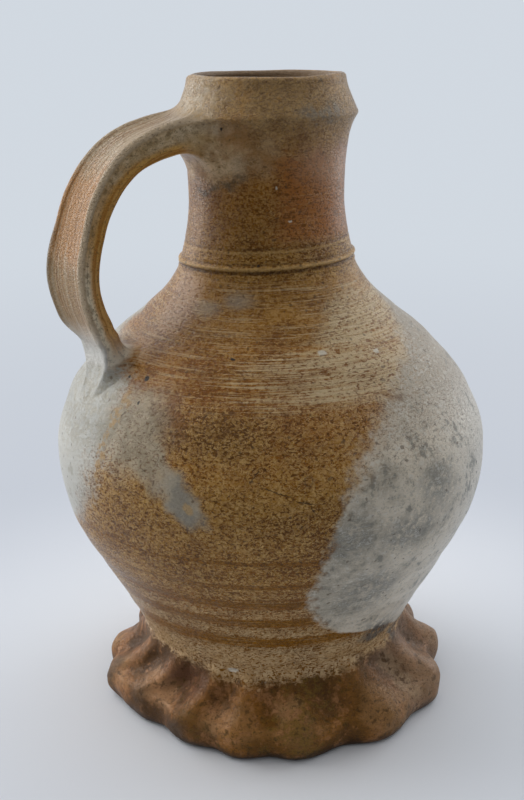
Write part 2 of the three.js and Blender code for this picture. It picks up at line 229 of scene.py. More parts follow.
# Colours of small places and of the stage that nobody sets.
TINTS = {
    "tone_low": (0.68, 0.6, 0.46), "tone_high": (1.12, 1.14, 1.15), "rusty": (0.31, 0.135, 0.03),
    "amber": (0.29, 0.118, 0.003), "dark_line": (0.2, 0.08, 0.008), "skin_brown": (0.49, 0.275, 0.068),
    "skin_low": (0.72, 0.56, 0.36), "pit": (0.11, 0.042, 0.002), "dark_belly": (0.19, 0.078, 0.004),
    # The first colour below is painted shade, for the cordon's grooves and the foot's hollows.
    "groove": (0.09, 0.04, 0.01), "high_grey": (0.43, 0.365, 0.275), "pale_dull": (0.4, 0.375, 0.305),
    "pale_clear": (0.475, 0.475, 0.435), "pale_low": (0.7, 0.69, 0.63), "stain": (0.33, 0.3, 0.21),
    "pale_back": (0.4, 0.35, 0.25), "mottle_dark": (0.36, 0.31, 0.215), "mottle_pale": (0.5, 0.43, 0.31),
    "scar": (0.56, 0.37, 0.17), "olive_dark": (0.53, 0.36, 0.17), "olive_pit": (0.24, 0.13, 0.035),
    "olive_fleck": (0.15, 0.085, 0.025), "warm_clay": (0.38, 0.18, 0.05),
    # The first colour below is painted shadow under the smear on the neck.
    "smear_edge": (0.11, 0.075, 0.035), "crack": (0.05, 0.022, 0.006), "bubble": (0.12, 0.06, 0.02),
    "speck": (0.08, 0.045, 0.018), "foot_purple": (0.34, 0.165, 0.1), "foot_rosy": (0.42, 0.2, 0.08),
    # The second colour below is painted shadow for the foot's hollows.
    "foot_olive": (0.23, 0.135, 0.022), "foot_smoke": (0.07, 0.036, 0.012),
    # The second colour below is painted light for the lit faces of the foot's lobes.
    "foot_right": (0.28, 0.19, 0.13), "foot_warm": (0.56, 0.31, 0.15), "foot_run": (0.44, 0.31, 0.185),
    # The last colour below is painted shade for the foot's lower edge by the table.
    "foot_pit": (0.07, 0.032, 0.007), "foot_grain": (0.05, 0.025, 0.01), "foot_edge": (0.04, 0.02, 0.008),
    "soot": (0.075, 0.075, 0.072), "strap_drawn": (0.26, 0.115, 0.026), "strap_far": (0.13, 0.1, 0.048),
    "flank_orange": (0.66, 0.34, 0.08), "flank_low": (0.96, 0.85, 0.64),
    # The second colour below is painted shade beside the strap's near ridge.
    "flank_drawn": (0.26, 0.165, 0.065), "strap_seam": (0.23, 0.165, 0.08), "inner_dark": (0.48, 0.2, 0.02),
    "inner_pale": (0.68, 0.37, 0.08), "inner_far": (0.33, 0.16, 0.045), "strap_grain": (0.15, 0.085, 0.028),
    # The last colour on the next line and the first on the line after are painted shade on the left of the
    # floor and painted light on its right; the second one dims the glowing floor near the jug.
    "tail_dull": (0.59, 0.57, 0.515), "tail_pale": (0.71, 0.695, 0.645), "floor_left": (0.71, 0.74, 0.79),
    "floor_right": (0.81, 0.84, 0.89), "floor_near": (0.575, 0.612, 0.68), "room": (0.19, 0.19, 0.195),
    "ceiling": (0.67, 0.665, 0.655), "tent": (0.62, 0.66, 0.72), "soft_box": (1.0, 0.98, 0.95),
}


def number(name, description, default, **limits):
    return FloatProperty(name=name, description=description, default=default, **limits)


def length(name, description, default):
    return number(name, description, default, min=0.0, unit="LENGTH", precision=5)


def angle(name, description, default):
    return number(name, description, default, subtype="ANGLE")


def colour(name, description, default):
    return FloatVectorProperty(
        name=name, description=description, default=default, min=0.0, max=1.0, size=3, subtype="COLOR"
    )


class JugSizes(PropertyGroup):
    """Sizes of the pot that a potter would set."""

    rim_height: length("Rim height", "Height of the lip over the table", 0.2407)
    rim_radius: length("Rim radius", "Outer radius of the lip", 0.0289)
    neck_waist_height: length("Neck waist height", "Height of the narrowest place of the neck", 0.198)
    neck_waist_radius: length("Neck waist radius", "Outer radius of the neck at its narrowest", 0.0286)
    neck_foot_height: length("Neck foot height", "Height at which the neck meets the shoulder", 0.174)
    neck_foot_radius: length("Neck foot radius", "Outer radius where the neck meets the shoulder", 0.0327)
    belly_height: length("Belly height", "Height of the widest place of the belly", 0.107)
    belly_radius: length("Belly radius", "Outer radius of the belly at its widest", 0.082)
    waist_height: length("Waist height", "Height of the waist over the foot", 0.027)
    waist_radius: length("Waist radius", "Outer radius of the waist over the foot", 0.0517)
    base_radius: length("Base radius", "Outer radius of the thrown base", 0.049)
    floor_thickness: length("Floor thickness", "Thickness of the clay under the inside", 0.008)
    belly_wall: length("Belly wall", "Thickness of the wall of the belly", 0.005)
    neck_wall: length("Neck wall", "Thickness of the wall of the neck", 0.004)
    lip_thickness: length("Lip thickness", "Thickness of the rounded lip", 0.0034)
    inside_corner: length("Inside corner", "Radius of the corner between floor and wall inside", 0.009)
    flange_drop: length("Flange drop", "How far the flange lies under the lip", 0.0137)
    flange_projection: length("Flange projection", "How far the flange stands out", 0.0047)
    flange_run: length("Flange run", "Height over which the flange fades out below", 0.0062)
    cordon_rise: length("Cordon rise", "How far the cordon lies over the foot of the neck", 0.0024)
    cordon_projection: length("Cordon projection", "How far the cordon stands out", 0.001)
    cordon_half_width: length("Cordon half width", "Half the width of the cordon", 0.0008)
    cordon_skew: length("Cordon skew", "How far the cordon drops towards the left", 0.0009)
    foot_height: length("Foot height", "Height of the upper edge of the pressed foot", 0.031)
    tip_height: length("Tip height", "Height of the widest place of a lobe", 0.0072)
    foot_rounding: length("Foot rounding", "Rounding of the foot's lower edge", 0.0038)
    channel_depth: length("Channel depth", "Depth of the hollow along the strap's outer face", 0.0016)
    ridge_height: length("Ridge height", "Height of the ridges that border the channel", 0.0009)
    handle_lean: length("Handle lean", "How far the strap leans sideways from top to bottom", 0.006)


class JugColours(PropertyGroup):
    """Colours of the clay and the salt glaze."""

    umber: colour("Umber", "Darkest brown glaze", (0.3, 0.112, 0.006))
    orange: colour("Orange", "Orange brown glaze", (0.352, 0.13, 0.007))
    ochre: colour("Ochre", "Yellower brown glaze", (0.33, 0.14, 0.01))
    khaki: colour("Khaki", "Greyish brown glaze of the rim", (0.43, 0.275, 0.13))
    flecks: colour("Flecks", "Pale tan of the skin between the glaze beads", (0.7, 0.45, 0.17))
    streaks: colour("Streaks", "Pale buff of the throwing lines", (0.65, 0.48, 0.27))
    buff: colour("Buff", "Buff of the right side of the shoulder", (0.72, 0.57, 0.34))
    cream: colour("Cream", "Thin pale glaze of the sides", (0.72, 0.69, 0.62))
    grey: colour("Grey", "Grey of the belly that the flame kept from the air", (0.76, 0.675, 0.54))
    dim_grey: colour("Dim grey", "Darker grey in the grey", (0.48, 0.425, 0.33))
    slate: colour("Slate", "Blue-grey clouds in the grey", (0.225, 0.22, 0.19))
    slate_light: colour("Light slate", "Blue-grey run of glaze on the left", (0.33, 0.31, 0.255))
    # Pink of the painted highlights beside the handle and of the painted light on the right of the neck.
    pink: colour("Pink", "Pinkish buff of bare, flashed clay", (0.56, 0.37, 0.25))
    red: colour("Red", "Red brown of the neck", (0.395, 0.145, 0.03))
    olive: colour("Olive", "Olive brown of the strap's sides", (0.76, 0.57, 0.34))
    rust: colour("Rust", "Orange edges where the glaze ran thin", (0.47, 0.27, 0.07))
    iron: colour("Iron", "Black iron spots", (0.022, 0.018, 0.016))
    chip: colour("Chip", "Pale clay laid bare by chips", (0.78, 0.72, 0.6))
    strap_buff: colour("Strap buff", "Pinkish tan of the strap", (0.4, 0.25, 0.11))
    strap_orange: colour("Strap orange", "Orange tan of the middle of the strap", (0.48, 0.205, 0.036))
    # Cream of the strap, also laid as painted highlight on its near ridge and on the rim and flange.
    strap_cream: colour("Strap cream", "Cream of the strap's ridges", (0.6, 0.5, 0.36))
    foot_brown: colour("Foot brown", "Bare brown clay of the foot", (0.3, 0.125, 0.018))
    foot_red: colour("Foot red", "Redder clay of the foot's sides", (0.29, 0.13, 0.05))
    # Painted highlight on the crests of the foot's lobes.
    foot_tan: colour("Foot tan", "Paler clay on the ridges of the foot", (0.37, 0.205, 0.08))
    foot_dark: colour("Foot dark", "Smoked clay in the hollows of the foot", (0.15, 0.066, 0.008))
    inside: colour("Inside", "Dull brown of the inside", (0.3, 0.2, 0.115))


class JugStage(PropertyGroup):
    """Camera, lights and floor."""

    lens: number("Lens", "Focal length of the camera in millimetres", 52.41, min=1.0)
    distance: length("Distance", "Camera's distance from the axis of the pot", 0.4305)
    camera_height: length("Camera height", "Camera's height over the table", 0.26038)
    azimuth: angle("Azimuth", "Camera's turn round the pot", math.radians(-25.5))
    pitch: angle("Pitch", "How far the camera looks down", 0.31938)
    roll: angle("Roll", "Camera's roll", -0.017089)
    yaw: angle("Yaw", "Camera's turn off the axis", -0.0068)
    left_light: number("Left light", "Radiance of the left soft box", 2.55, min=0.0)
    right_light: number("Right light", "Radiance of the right soft box", 1.4, min=0.0)
    seed: IntProperty(name="Seed", description="Seed of the unevenness made by hand", default=7)
    backdrop: colour("Backdrop", "Pale blue-grey of the seamless backdrop", (0.64, 0.69, 0.75))


def colour_of(name):
    """A colour by its name, one that a user may set or a fixed one."""
    return TINTS[name] if name in TINTS else tuple(getattr(bpy.context.scene.jug_colours, name))


def smooth_through(stations):
    """A smooth curve through (place, value) stations that never overshoots between two of them."""
    places, values = (np.array(row, float) for row in zip(*stations))
    rises = np.diff(values) / np.diff(places)
    slopes = np.concatenate([rises[:1], np.zeros(len(rises) - 1), rises[-1:]])
    for i in range(1, len(rises)):
        if rises[i - 1] * rises[i] > 0:
            slopes[i] = 2 * rises[i - 1] * rises[i] / (rises[i - 1] + rises[i])

    def at(place):
        place = np.asarray(place, float)
        i = np.clip(np.searchsorted(places, place, side="right") - 1, 0, len(rises) - 1)
        run = places[i + 1] - places[i]
        u = np.clip((place - places[i]) / run, 0, 1)
        start = values[i] * (2 * u**3 - 3 * u**2 + 1) + slopes[i] * run * (u**3 - 2 * u**2 + u)
        return start + values[i + 1] * (3 * u**2 - 2 * u**3) + slopes[i + 1] * run * (u**3 - u**2)

    return at


def curve_through(points):
    """A natural cubic curve through points, read by share of its length."""
    points = np.array(points, float)
    spans = np.linalg.norm(np.diff(points, axis=0), axis=1)
    places = np.concatenate([[0], np.cumsum(spans)]) / spans.sum()
    count = len(points)
    system = np.eye(count)
    pull = np.zeros_like(points)
    for i in range(1, count - 1):
        before, after = places[i] - places[i - 1], places[i + 1] - places[i]
        system[i, i - 1 : i + 2] = before, 2 * (before + after), after
        pull[i] = 6 * ((points[i + 1] - points[i]) / after - (points[i] - points[i - 1]) / before)
    bend = np.linalg.solve(system, pull)

    def at(share):
        share = np.atleast_1d(share)
        i = np.clip(np.searchsorted(places, share, side="right") - 1, 0, count - 2)
        run = (places[i + 1] - places[i])[:, None]
        u = (share - places[i])[:, None] / run
        straight = points[i] * (1 - u) + points[i + 1] * u
        return straight + run**2 / 6 * (((1 - u) ** 3 - (1 - u)) * bend[i] + (u**3 - u) * bend[i + 1])

    return at


def four_shares(u):
    """Shares of the four points of a curve at a share of its run."""
    return (1 - u) ** 3, 3 * u * (1 - u) ** 2, 3 * u**2 * (1 - u), u**3


def soft_step(value):
    """0 up to 0, 1 from 1 on, smooth between."""
    value = np.clip(value, 0, 1)
    return value * value * (3 - 2 * value)


def lumps(points, size, seed):
    """Smooth unevenness between -1 and 1, with lumps of about this size in metres."""
    spot = np.asarray(points) / size
    cell = np.floor(spot).astype(np.int64)
    part = spot - cell
    part = part * part * (3 - 2 * part)
    total = np.zeros(spot.shape[:-1])
    for corner in range(8):
        step = np.array([corner & 1, corner >> 1 & 1, corner >> 2 & 1])
        key = cell + step
        code = key[..., 0] * 73856093 + key[..., 1] * 19349663 + key[..., 2] * 83492791 + seed * 7919
        code = (code ^ (code >> 13)) * 1274126177 & 0x7FFFFFFF
        code = (code ^ (code >> 11)) * 668265263 & 0x7FFFFFFF
        share = (code ^ (code >> 15)) % 65536 / 32767.5 - 1
        total += share * np.prod(np.where(step, part, 1 - part), axis=-1)
    return total


def level_axes(azimuth):
    """The camera's right and back on the level."""
    right = Vector((math.cos(azimuth), math.sin(azimuth), 0))
    return right, Vector((-math.sin(azimuth), math.cos(azimuth), 0))


def around(radius, turn, height):
    """Points at a distance from the axis, turn round +Z and height."""
    radius, turn, height = np.broadcast_arrays(radius, turn, height)
    return np.stack([radius * np.cos(turn), radius * np.sin(turn), height], axis=-1)


class Pot:
    """The thrown shape that all the pieces share."""

    def __init__(self):
        s = self.sizes = bpy.context.scene.jug_sizes
        self.seed = bpy.context.scene.jug_stage.seed
        waist = (s.waist_height, s.waist_radius)
        belly = (s.belly_height, s.belly_radius)
        neck_foot = (s.neck_foot_height, s.neck_foot_radius)
        stations = [(0, s.base_radius), waist, *self.between(waist, belly, BELLY_RISE), belly]
        stations += [*self.between(belly, neck_foot, SHOULDER_FALL), neck_foot]
        stations += [(s.neck_waist_height, s.neck_waist_radius), (s.rim_height, s.rim_radius)]
        self.plain_radius = smooth_through(stations)
        clay = [(0, s.belly_wall), (s.belly_height, s.belly_wall)]
        clay += [(s.neck_foot_height, s.neck_wall), (s.rim_height, s.lip_thickness)]
        self.clay = smooth_through(clay)

    @staticmethod
    def between(low, high, shares):
        return [(low[0] + a * (high[0] - low[0]), low[1] + b * (high[1] - low[1])) for a, b in shares]

    def flange(self, height):
        """The ridge round the neck where the handle starts, hollow below and nearly straight above."""
        s = self.sizes
        total = 0.0
        worn = (-0.5 * MM, 0.0, 0.5 * MM)
        for shift in worn:
            above = height - (s.rim_height - s.flange_drop) + shift
            under = np.exp(np.minimum(above, 0) / s.flange_run)
            over = np.maximum(0, 1 - np.maximum(above, 0) / s.flange_drop) ** 1.55
            total = total + np.where(above < 0, under, over)
        return s.flange_projection * total / len(worn)

    def cordon(self, height, turn):
        """The ridge round the foot of the neck, with a groove on either side and thin cut lines above."""
        s = self.sizes
        level = s.neck_foot_height + s.cordon_rise + s.cordon_skew * np.cos(turn - FRONT - math.pi / 2)
        off = (height - level) / s.cordon_half_width
        ridge = np.exp(-(np.abs(off) ** 3.0))
        grooves = np.exp(-((off + 1.7) ** 2) * 3.0) + 0.6 * np.exp(-((off - 1.7) ** 2) * 3.0)
        second = np.exp(-((off + 3.1) ** 2) * 2.2)
        line = np.exp(-((off - 8.2) ** 2) * 4) + 0.6 * np.exp(-((off - 5.4) ** 2) * 5)
        knob = np.exp(-(off**2) * 0.4 - ((np.mod(turn - HANDLE + 0.2, 2 * math.pi)) / 0.35) ** 2)
        return s.cordon_projection * (ridge + 0.35 * second) + MM * (0.7 * knob - 0.4 * grooves - 0.16 * line)

    def throwing(self, height, turn):
        """Rings left by the fingers, which climb one step a turn."""
        climb = height + 2.5 * MM * (turn - FRONT) / (2 * math.pi)
        zeros = np.zeros_like(climb)
        fine = lumps(np.stack([zeros, zeros, climb], -1), 1.7 * MM, self.seed)
        middle = lumps(np.stack([zeros, zeros + 1, climb], -1), 4.2 * MM, self.seed + 1)
        wide = lumps(np.stack([zeros, zeros + 2, climb], -1), 11 * MM, self.seed + 2)
        shoulder = soft_step((height - 0.12) / 0.02) * soft_step((0.172 - height) / 0.01)
        low = soft_step((0.085 - height) / 0.02)
        fine_share = 0.02 + 0.1 * shoulder + 0.05 * low
        middle_share = 0.05 + 0.07 * shoulder + 0.13 * low
        return MM * (fine_share * fine + middle_share * middle + 0.18 * wide)

    def settling(self, height, turn):
        """Fuller lower belly, most of all on the right, and a rim that sits a little to the right."""
        low = soft_step((height - 0.04) / 0.02) * soft_step((0.112 - height) / 0.02)
        right = 0.5 + 0.5 * np.sin(turn - FRONT)
        swell = low * (0.55 + 0.45 * right) + right * 0.5 * np.exp(-(((height - 0.093) / 0.01) ** 2))
        rim = soft_step((height - 0.214) / 0.02)
        left = np.maximum(0, -np.sin(turn - FRONT)) ** 2
        swell = swell + left * 1.0 * np.exp(-(((height - 0.129) / 0.009) ** 2))
        aside = (np.mod(turn - FRONT + math.radians(44) + math.pi, 2 * math.pi) - math.pi) / math.radians(24)
        smeared = 2.3 * np.exp(-(aside**2) - ((height - 0.2175) / 0.0062) ** 2)
        return MM * (swell + smeared + rim * (0.45 * np.sin(turn - FRONT) - 0.3))

    def radius(self, height, turn):
        """The outside of the wall, with its ridges and the hand's unevenness."""
        height, turn = np.broadcast_arrays(np.asarray(height, float), turn)
        radius = self.plain_radius(height) + self.flange(height) + self.cordon(height, turn)
        radius = radius + self.throwing(height, turn) + self.settling(height, turn)
        spots = around(self.plain_radius(height), turn, height)
        broad = lumps(spots, 0.045, self.seed + 3)
        small = lumps(spots, 0.011, self.seed + 4)
        return radius + MM * (0.25 * broad + 0.12 * small)

    def wall(self, height, turn, proud=0.0):
        height, turn = np.broadcast_arrays(np.asarray(height, float), turn)
        return around(self.radius(height, turn) + proud, turn, height)

    def normal(self, height):
        step = 0.5 * MM
        slope = (self.plain_radius(height + step) - self.plain_radius(height - step)) / (2 * step)
        size = np.hypot(1, slope)
        return 1 / size, -slope / size


def grid_mesh(name, rows, loop=False, start=None, end=None):
    """A smooth mesh over rows of points that close round, with a point at either end where one is given."""
    count, size = rows.shape[:2]
    verts = rows.reshape(-1, 3)
    columns = np.arange(size)
    after = (columns + 1) % size
    spans = count if loop else count - 1
    quads = []
    for i in range(spans):
        low, high = i * size, (i + 1) % count * size
        quads.append(np.stack([low + columns, low + after, high + after, high + columns], axis=1))
    faces = np.concatenate(quads).tolist()
    across = (np.stack([columns, columns + 1, columns + 1, columns], axis=1) / size).astype(np.float32)
    steps = np.linalg.norm(np.diff(rows, axis=0), axis=2).mean(axis=1)
    if loop:
        steps = np.append(steps, np.linalg.norm(rows[0] - rows[-1], axis=1).mean())
    along = np.concatenate([[0], np.cumsum(steps)]) / steps.sum() * 0.96 + 0.02
    maps = []
    for i in range(spans):
        heights = np.array([along[i], along[i], along[i + 1], along[i + 1]])
        maps.append(np.stack([across, np.broadcast_to(heights, across.shape)], axis=-1))
    maps = np.concatenate(maps).reshape(-1, 2)
    extra = []
    for pole, row, share in ((start, 0, 0.0), (end, count - 1, 1.0)):
        if pole is None:
            continue
        tip = len(verts)
        verts = np.vstack([verts, pole])
        edge = along[0] if row == 0 else along[-1]
        for j in range(size):
            a, b = row * size + j, row * size + (j + 1) % size
            faces.append([b, a, tip] if row == 0 else [a, b, tip])
            left, right = j / size, (j + 1) / size
            pair = [(right, edge), (left, edge)] if row == 0 else [(left, edge), (right, edge)]
            extra += [*pair, ((j + 0.5) / size, share)]
    if extra:
        maps = np.vstack([maps, np.array(extra)])
    mesh = bpy.data.meshes.new(name)
    mesh.from_pydata(verts.tolist(), [], faces)
    layer = mesh.uv_layers.new(name="OFBake")
    layer.data.foreach_set("uv", maps.astype(np.float32).ravel())
    mesh.polygons.foreach_set("use_smooth", np.ones(len(mesh.polygons), bool))
    mesh.validate()
    mesh.update()
    return mesh


def add_piece(name, mesh, node, material):
    """The piece on the pot's body, in the place of the plain one."""
    piece = bpy.data.objects.new(name, mesh)
    bpy.context.scene.collection.objects.link(piece)
    mesh.materials.append(material)
    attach(piece, "root")
    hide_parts(node)


class Value:
    """A shader socket that takes part in sums as a number would."""

    def __init__(self, graph, socket):
        self.graph = graph
        self.socket = socket

    def _math(self, operation, *values):
        sockets = dict(enumerate(values))
        return self.graph.node("ShaderNodeMath", {"operation": operation}, sockets)

    def __add__(self, other):
        return self._math("ADD", self, other)

    __radd__ = __add__

    def __sub__(self, other):
        return self._math("SUBTRACT", self, other)

    def __rsub__(self, other):
        return self._math("SUBTRACT", other, self)

    def __mul__(self, other):
        return self._math("MULTIPLY", self, other)

    __rmul__ = __mul__

    def __truediv__(self, other):
        return self._math("DIVIDE", self, other)

    def __pow__(self, other):
        return self._math("POWER", self, other)

    def __abs__(self):
        return self._math("ABSOLUTE", self)

    def least(self, other):
        return self._math("MINIMUM", self, other)

    def most(self, other):
        return self._math("MAXIMUM", self, other)

    def ramp(self, low, high):
        """0 up to low, 1 from high on, smooth between. Where high is less than low it falls."""
        sockets = {"Value": self, "From Min": min(low, high), "From Max": max(low, high)}
        if high < low:
            sockets.update({"To Min": 1.0, "To Max": 0.0})
        return self.graph.node("ShaderNodeMapRange", {"interpolation_type": "SMOOTHSTEP"}, sockets)

    def clear(self):
        """Kept between 0 and 1."""
        return self.least(1.0).most(0.0)


class Finish:
    """The nodes of one material."""

    def __init__(self, name):
        self.material = bpy.data.materials.new(name)
        self.material.use_nodes = True
        self.tree = self.material.node_tree
        self.tree.nodes.clear()
        self.place = self.node("ShaderNodeTexCoord", output="Object")
        axes = self.node("ShaderNodeSeparateXYZ", sockets={"Vector": self.place}, whole=True)
        self.x, self.y, self.height = (Value(self, axes.outputs[i]) for i in range(3))

    def node(self, kind, settings=None, sockets=None, output=0, whole=False):
        """A node of this type, with its settings made first, then the values or links of its sockets."""
        node = self.tree.nodes.new(kind)
        for key, value in (settings or {}).items():
            if key == "stops":
                ramp = node.color_ramp
                while len(ramp.elements) < len(value):
                    ramp.elements.new(0.5)
                for element, (place, tint) in zip(ramp.elements, value):
                    element.position = place
                    element.color = (*tint, 1.0)
            else:
                setattr(node, key, value)
        for key, value in (sockets or {}).items():
            socket = node.inputs[key]
            if isinstance(value, Value):
                self.tree.links.new(value.socket, socket)
            elif socket.type == "RGBA":
                socket.default_value = (*(colour_of(value) if isinstance(value, str) else value), 1.0)
            else:
                socket.default_value = value
        return node if whole else Value(self, node.outputs[output])

    def mix(self, share, under, over, blend="MIX"):
        """One colour laid over another by a share."""
        settings = {"data_type": "RGBA", "blend_type": blend}
        return self.node("ShaderNodeMix", settings, {0: share, 6: under, 7: over}, output=2)

    def lay(self, colour, *layers):
        """Colours laid over a first one, each by its share."""
        for share, over in layers:
            colour = self.mix(share, colour, over)
        return colour

    def vector(self, operation, *values, scale=None, output=0):
        """Vector maths, with a plain factor where a scale is given."""
        sockets = dict(enumerate(values)) if scale is None else {0: values[0], "Scale": scale}
        return self.node("ShaderNodeVectorMath", {"operation": operation}, sockets, output=output)

    def stretched(self, scale):
        """The place, scaled along each axis."""
        return self.vector("MULTIPLY", self.place, scale)

    def noise(self, size, detail=2.0, roughness=0.5, distortion=0.0, place=None):
        """Noise with features of about this size in metres."""
        sockets = {"Vector": place or self.place, "Scale": 1 / size, "Detail": detail}
        sockets.update({"Roughness": roughness, "Distortion": distortion})
        return self.node("ShaderNodeTexNoise", sockets=sockets)

    def curve(self, value, stations, span, reach):
        """A smooth curve through (value, result) stations, within a span of values and a reach of results."""
        width, rise = span[1] - span[0], reach[1] - reach[0]
        node = self.node("ShaderNodeFloatCurve", sockets={"Value": (value - span[0]) / width}, whole=True)
        points = node.mapping.curves[0].points
        while len(points) < len(stations):
            points.new(0.5, 0.5)
        for point, (place, result) in zip(points, stations):
            point.location = (place - span[0]) / width, (result - reach[0]) / rise
        node.mapping.update()
        return Value(self, node.outputs[0]) * rise + reach[0]

    def finish(self, sockets, bump):
        """The shader and the output. Bump is a height in metres."""
        relief = {"Strength": 1.0, "Distance": 1.0, "Height": bump}
        sockets["Normal"] = self.node("ShaderNodeBump", sockets=relief)
        sockets["Specular IOR Level"] = SPECULAR
        shader = self.node("ShaderNodeBsdfPrincipled", sockets=sockets)
        self.node("ShaderNodeOutputMaterial", sockets={"Surface": shader}, whole=True)
        return self.material


class Stoneware(Finish):
    """Salt-glazed stoneware, whose colours run on from one piece to the next because they follow the pot."""

    def __init__(self, name, pot):
        super().__init__(name)
        self.pot = pot
        ahead = self.x * math.cos(FRONT) + self.y * math.sin(FRONT)
        self.aside = self.y * math.cos(FRONT) - self.x * math.sin(FRONT)
        turn = self.node("ShaderNodeMath", {"operation": "ARCTAN2"}, {0: self.aside, 1: ahead})
        self.turn = turn * (180 / math.pi)
        self.reach = (self.x * self.x + self.y * self.y) ** 0.5
        heights = np.linspace(0.0, 0.24, 25)
        radii = pot.plain_radius(heights) + pot.flange(heights)
        self.proud = self.reach - self.curve(self.height, list(zip(heights, radii)), HEIGHTS, (0.0, 0.1))
        self.cloud = self.noise(0.03, 3.0, 0.55)
        self.blotch = self.noise(0.009, 4.0, 0.6)
        self.fleck = self.noise(0.0026, 3.0, 0.6)
        self.grain = self.noise(0.0009, 2.0, 0.6)
        self.streak = self.noise(0.03, 3.0, 0.65, place=self.stretched((1.0, 1.0, 22.0)))
        self.fine_streak = self.noise(0.02, 3.0, 0.65, place=self.stretched((1.0, 1.0, 55.0)))
        self.shoulder = self.height.ramp(0.132, 0.142) * self.height.ramp(0.176, 0.168)
        beads = self.noise(0.00125, 2.5, 0.6, 0.9, place=self.stretched((1.0, 1.0, 1.6)))
        drawn = self.noise(0.0018, 2.5, 0.6, 0.6, place=self.stretched((1.0, 1.0, 2.6)))
        self.worm = beads * (1 - self.shoulder * 0.8) + drawn * (self.shoulder * 0.8)
        self.wild = (self.blotch - 0.5) + (self.fleck - 0.5) * 0.6
        self.warped = self.shifted(160.0, 0.011)
        self.ragged = self.shifted(900.0, 0.0016)
        self.warped_flat = self.vector("MULTIPLY", self.warped, tuple(FLATTENED))
        self.ragged_flat = self.vector("MULTIPLY", self.ragged, tuple(FLATTENED))

    def shifted(self, scale, reach):
        """The place, moved about by noise."""
        sockets = {"Vector": self.place, "Scale": scale, "Detail": 4.0}
        bend = self.node("ShaderNodeTexNoise", sockets=sockets, output="Color")
        shift = self.vector("SCALE", self.vector("SUBTRACT", bend, (0.5, 0.5, 0.5)), scale=reach)
        return self.vector("ADD", self.place, shift)

    def group(self, rows):
        """Several round ovals at once, each at its own share."""
        result = None
        for turn, height, size, soft, share in rows:
            oval = self.patch(turn, height, size, size, soft)
            oval = oval * share if share < 1 else oval
            result = result.most(oval) if result else oval
        return result

    def spot(self, name):
        """One of the named ovals."""
        return self.patch(*SPOTS[name])

    def patch(self, turn, height, across, up, soft=0.3, slant=0.0, fine=False):
        """A soft oval on the wall: turn and height of its middle, half sizes, softness, slant, fine edge."""
        turn = math.radians(turn) + FRONT
        reach = self.pot.plain_radius(height) + self.pot.flange(height)
        if height < FOOT_LINE[-2][0]:
            reach = np.interp(height, *zip(*FOOT_LINE))
        centre = around(reach, turn, height)
        place = self.ragged if fine else self.warped
        if slant == 0.0 and across in (up, 2 * up):
            if across > up:
                place = self.ragged_flat if fine else self.warped_flat
                centre = centre * FLATTENED
            off = self.vector("DISTANCE", place, tuple(centre), output="Value")
            return off.ramp(across * (1 + soft / 2), across * (1 - soft / 2))
        sockets = {"Vector": place, "Location": tuple(centre)}
        sockets["Rotation"] = (math.radians(slant), 0, turn)
        sockets["Scale"] = (max(across, up), across, up)
        local = self.node("ShaderNodeMapping", {"vector_type": "TEXTURE"}, sockets)
        off = self.vector("LENGTH", local, output="Value")
        return off.ramp(1 + soft / 2, 1 - soft / 2)

    def ground(self):
        """Brown salt glaze, whose tone changes with height and in clouds."""
        level = self.height + self.wild * 0.005 + (self.streak - 0.5) * 0.004
        stops = [(height / HEIGHTS[1], colour_of(name)) for height, name in BANDS]
        colour = self.node("ShaderNodeValToRGB", {"stops": stops}, {0: level / HEIGHTS[1]})
        tone = (self.cloud * 0.45 + self.blotch * 0.4 + self.fleck * 0.15).ramp(0.38, 0.62)
        tone = self.mix(tone, "tone_low", "tone_high")
        colour = self.mix(1.0, colour, tone, "MULTIPLY")
        speckle = (self.blotch * 0.7 + self.fleck * 0.3).ramp(0.52, 0.6)
        return self.mix(self.height.ramp(0.2, 0.212) * speckle * 0.55, colour, "rusty")

    def lines(self, colour):
        """Throwing lines, pale ones and dark ones, and the dark amber rings of the lower belly."""
        low = self.height.ramp(0.088, 0.07) * self.height.ramp(0.032, 0.04)
        right = self.turn.ramp(-12.0, 45.0)
        level = self.height + self.wild * 0.0024 + (self.streak - 0.5) * 0.004
        rings = self.band(level, *RINGS[0])
        for ring in RINGS[1:]:
            rings = rings.most(self.band(level, *ring))
        self.rings = rings * (0.8 + self.blotch.ramp(0.4, 0.6) * 0.2)
        dark = (self.shoulder * 0.55 + low * 0.6 + 0.15).clear()
        pale = (self.shoulder * (0.55 + right * 0.3) + low * 0.35 + 0.1).clear()
        return self.lay(
            colour,
            (self.rings, "amber"),
            (self.streak.ramp(0.49, 0.38) * dark, "dark_line"),
            (self.fine_streak.ramp(0.54, 0.62) * pale, "streaks"),
        )

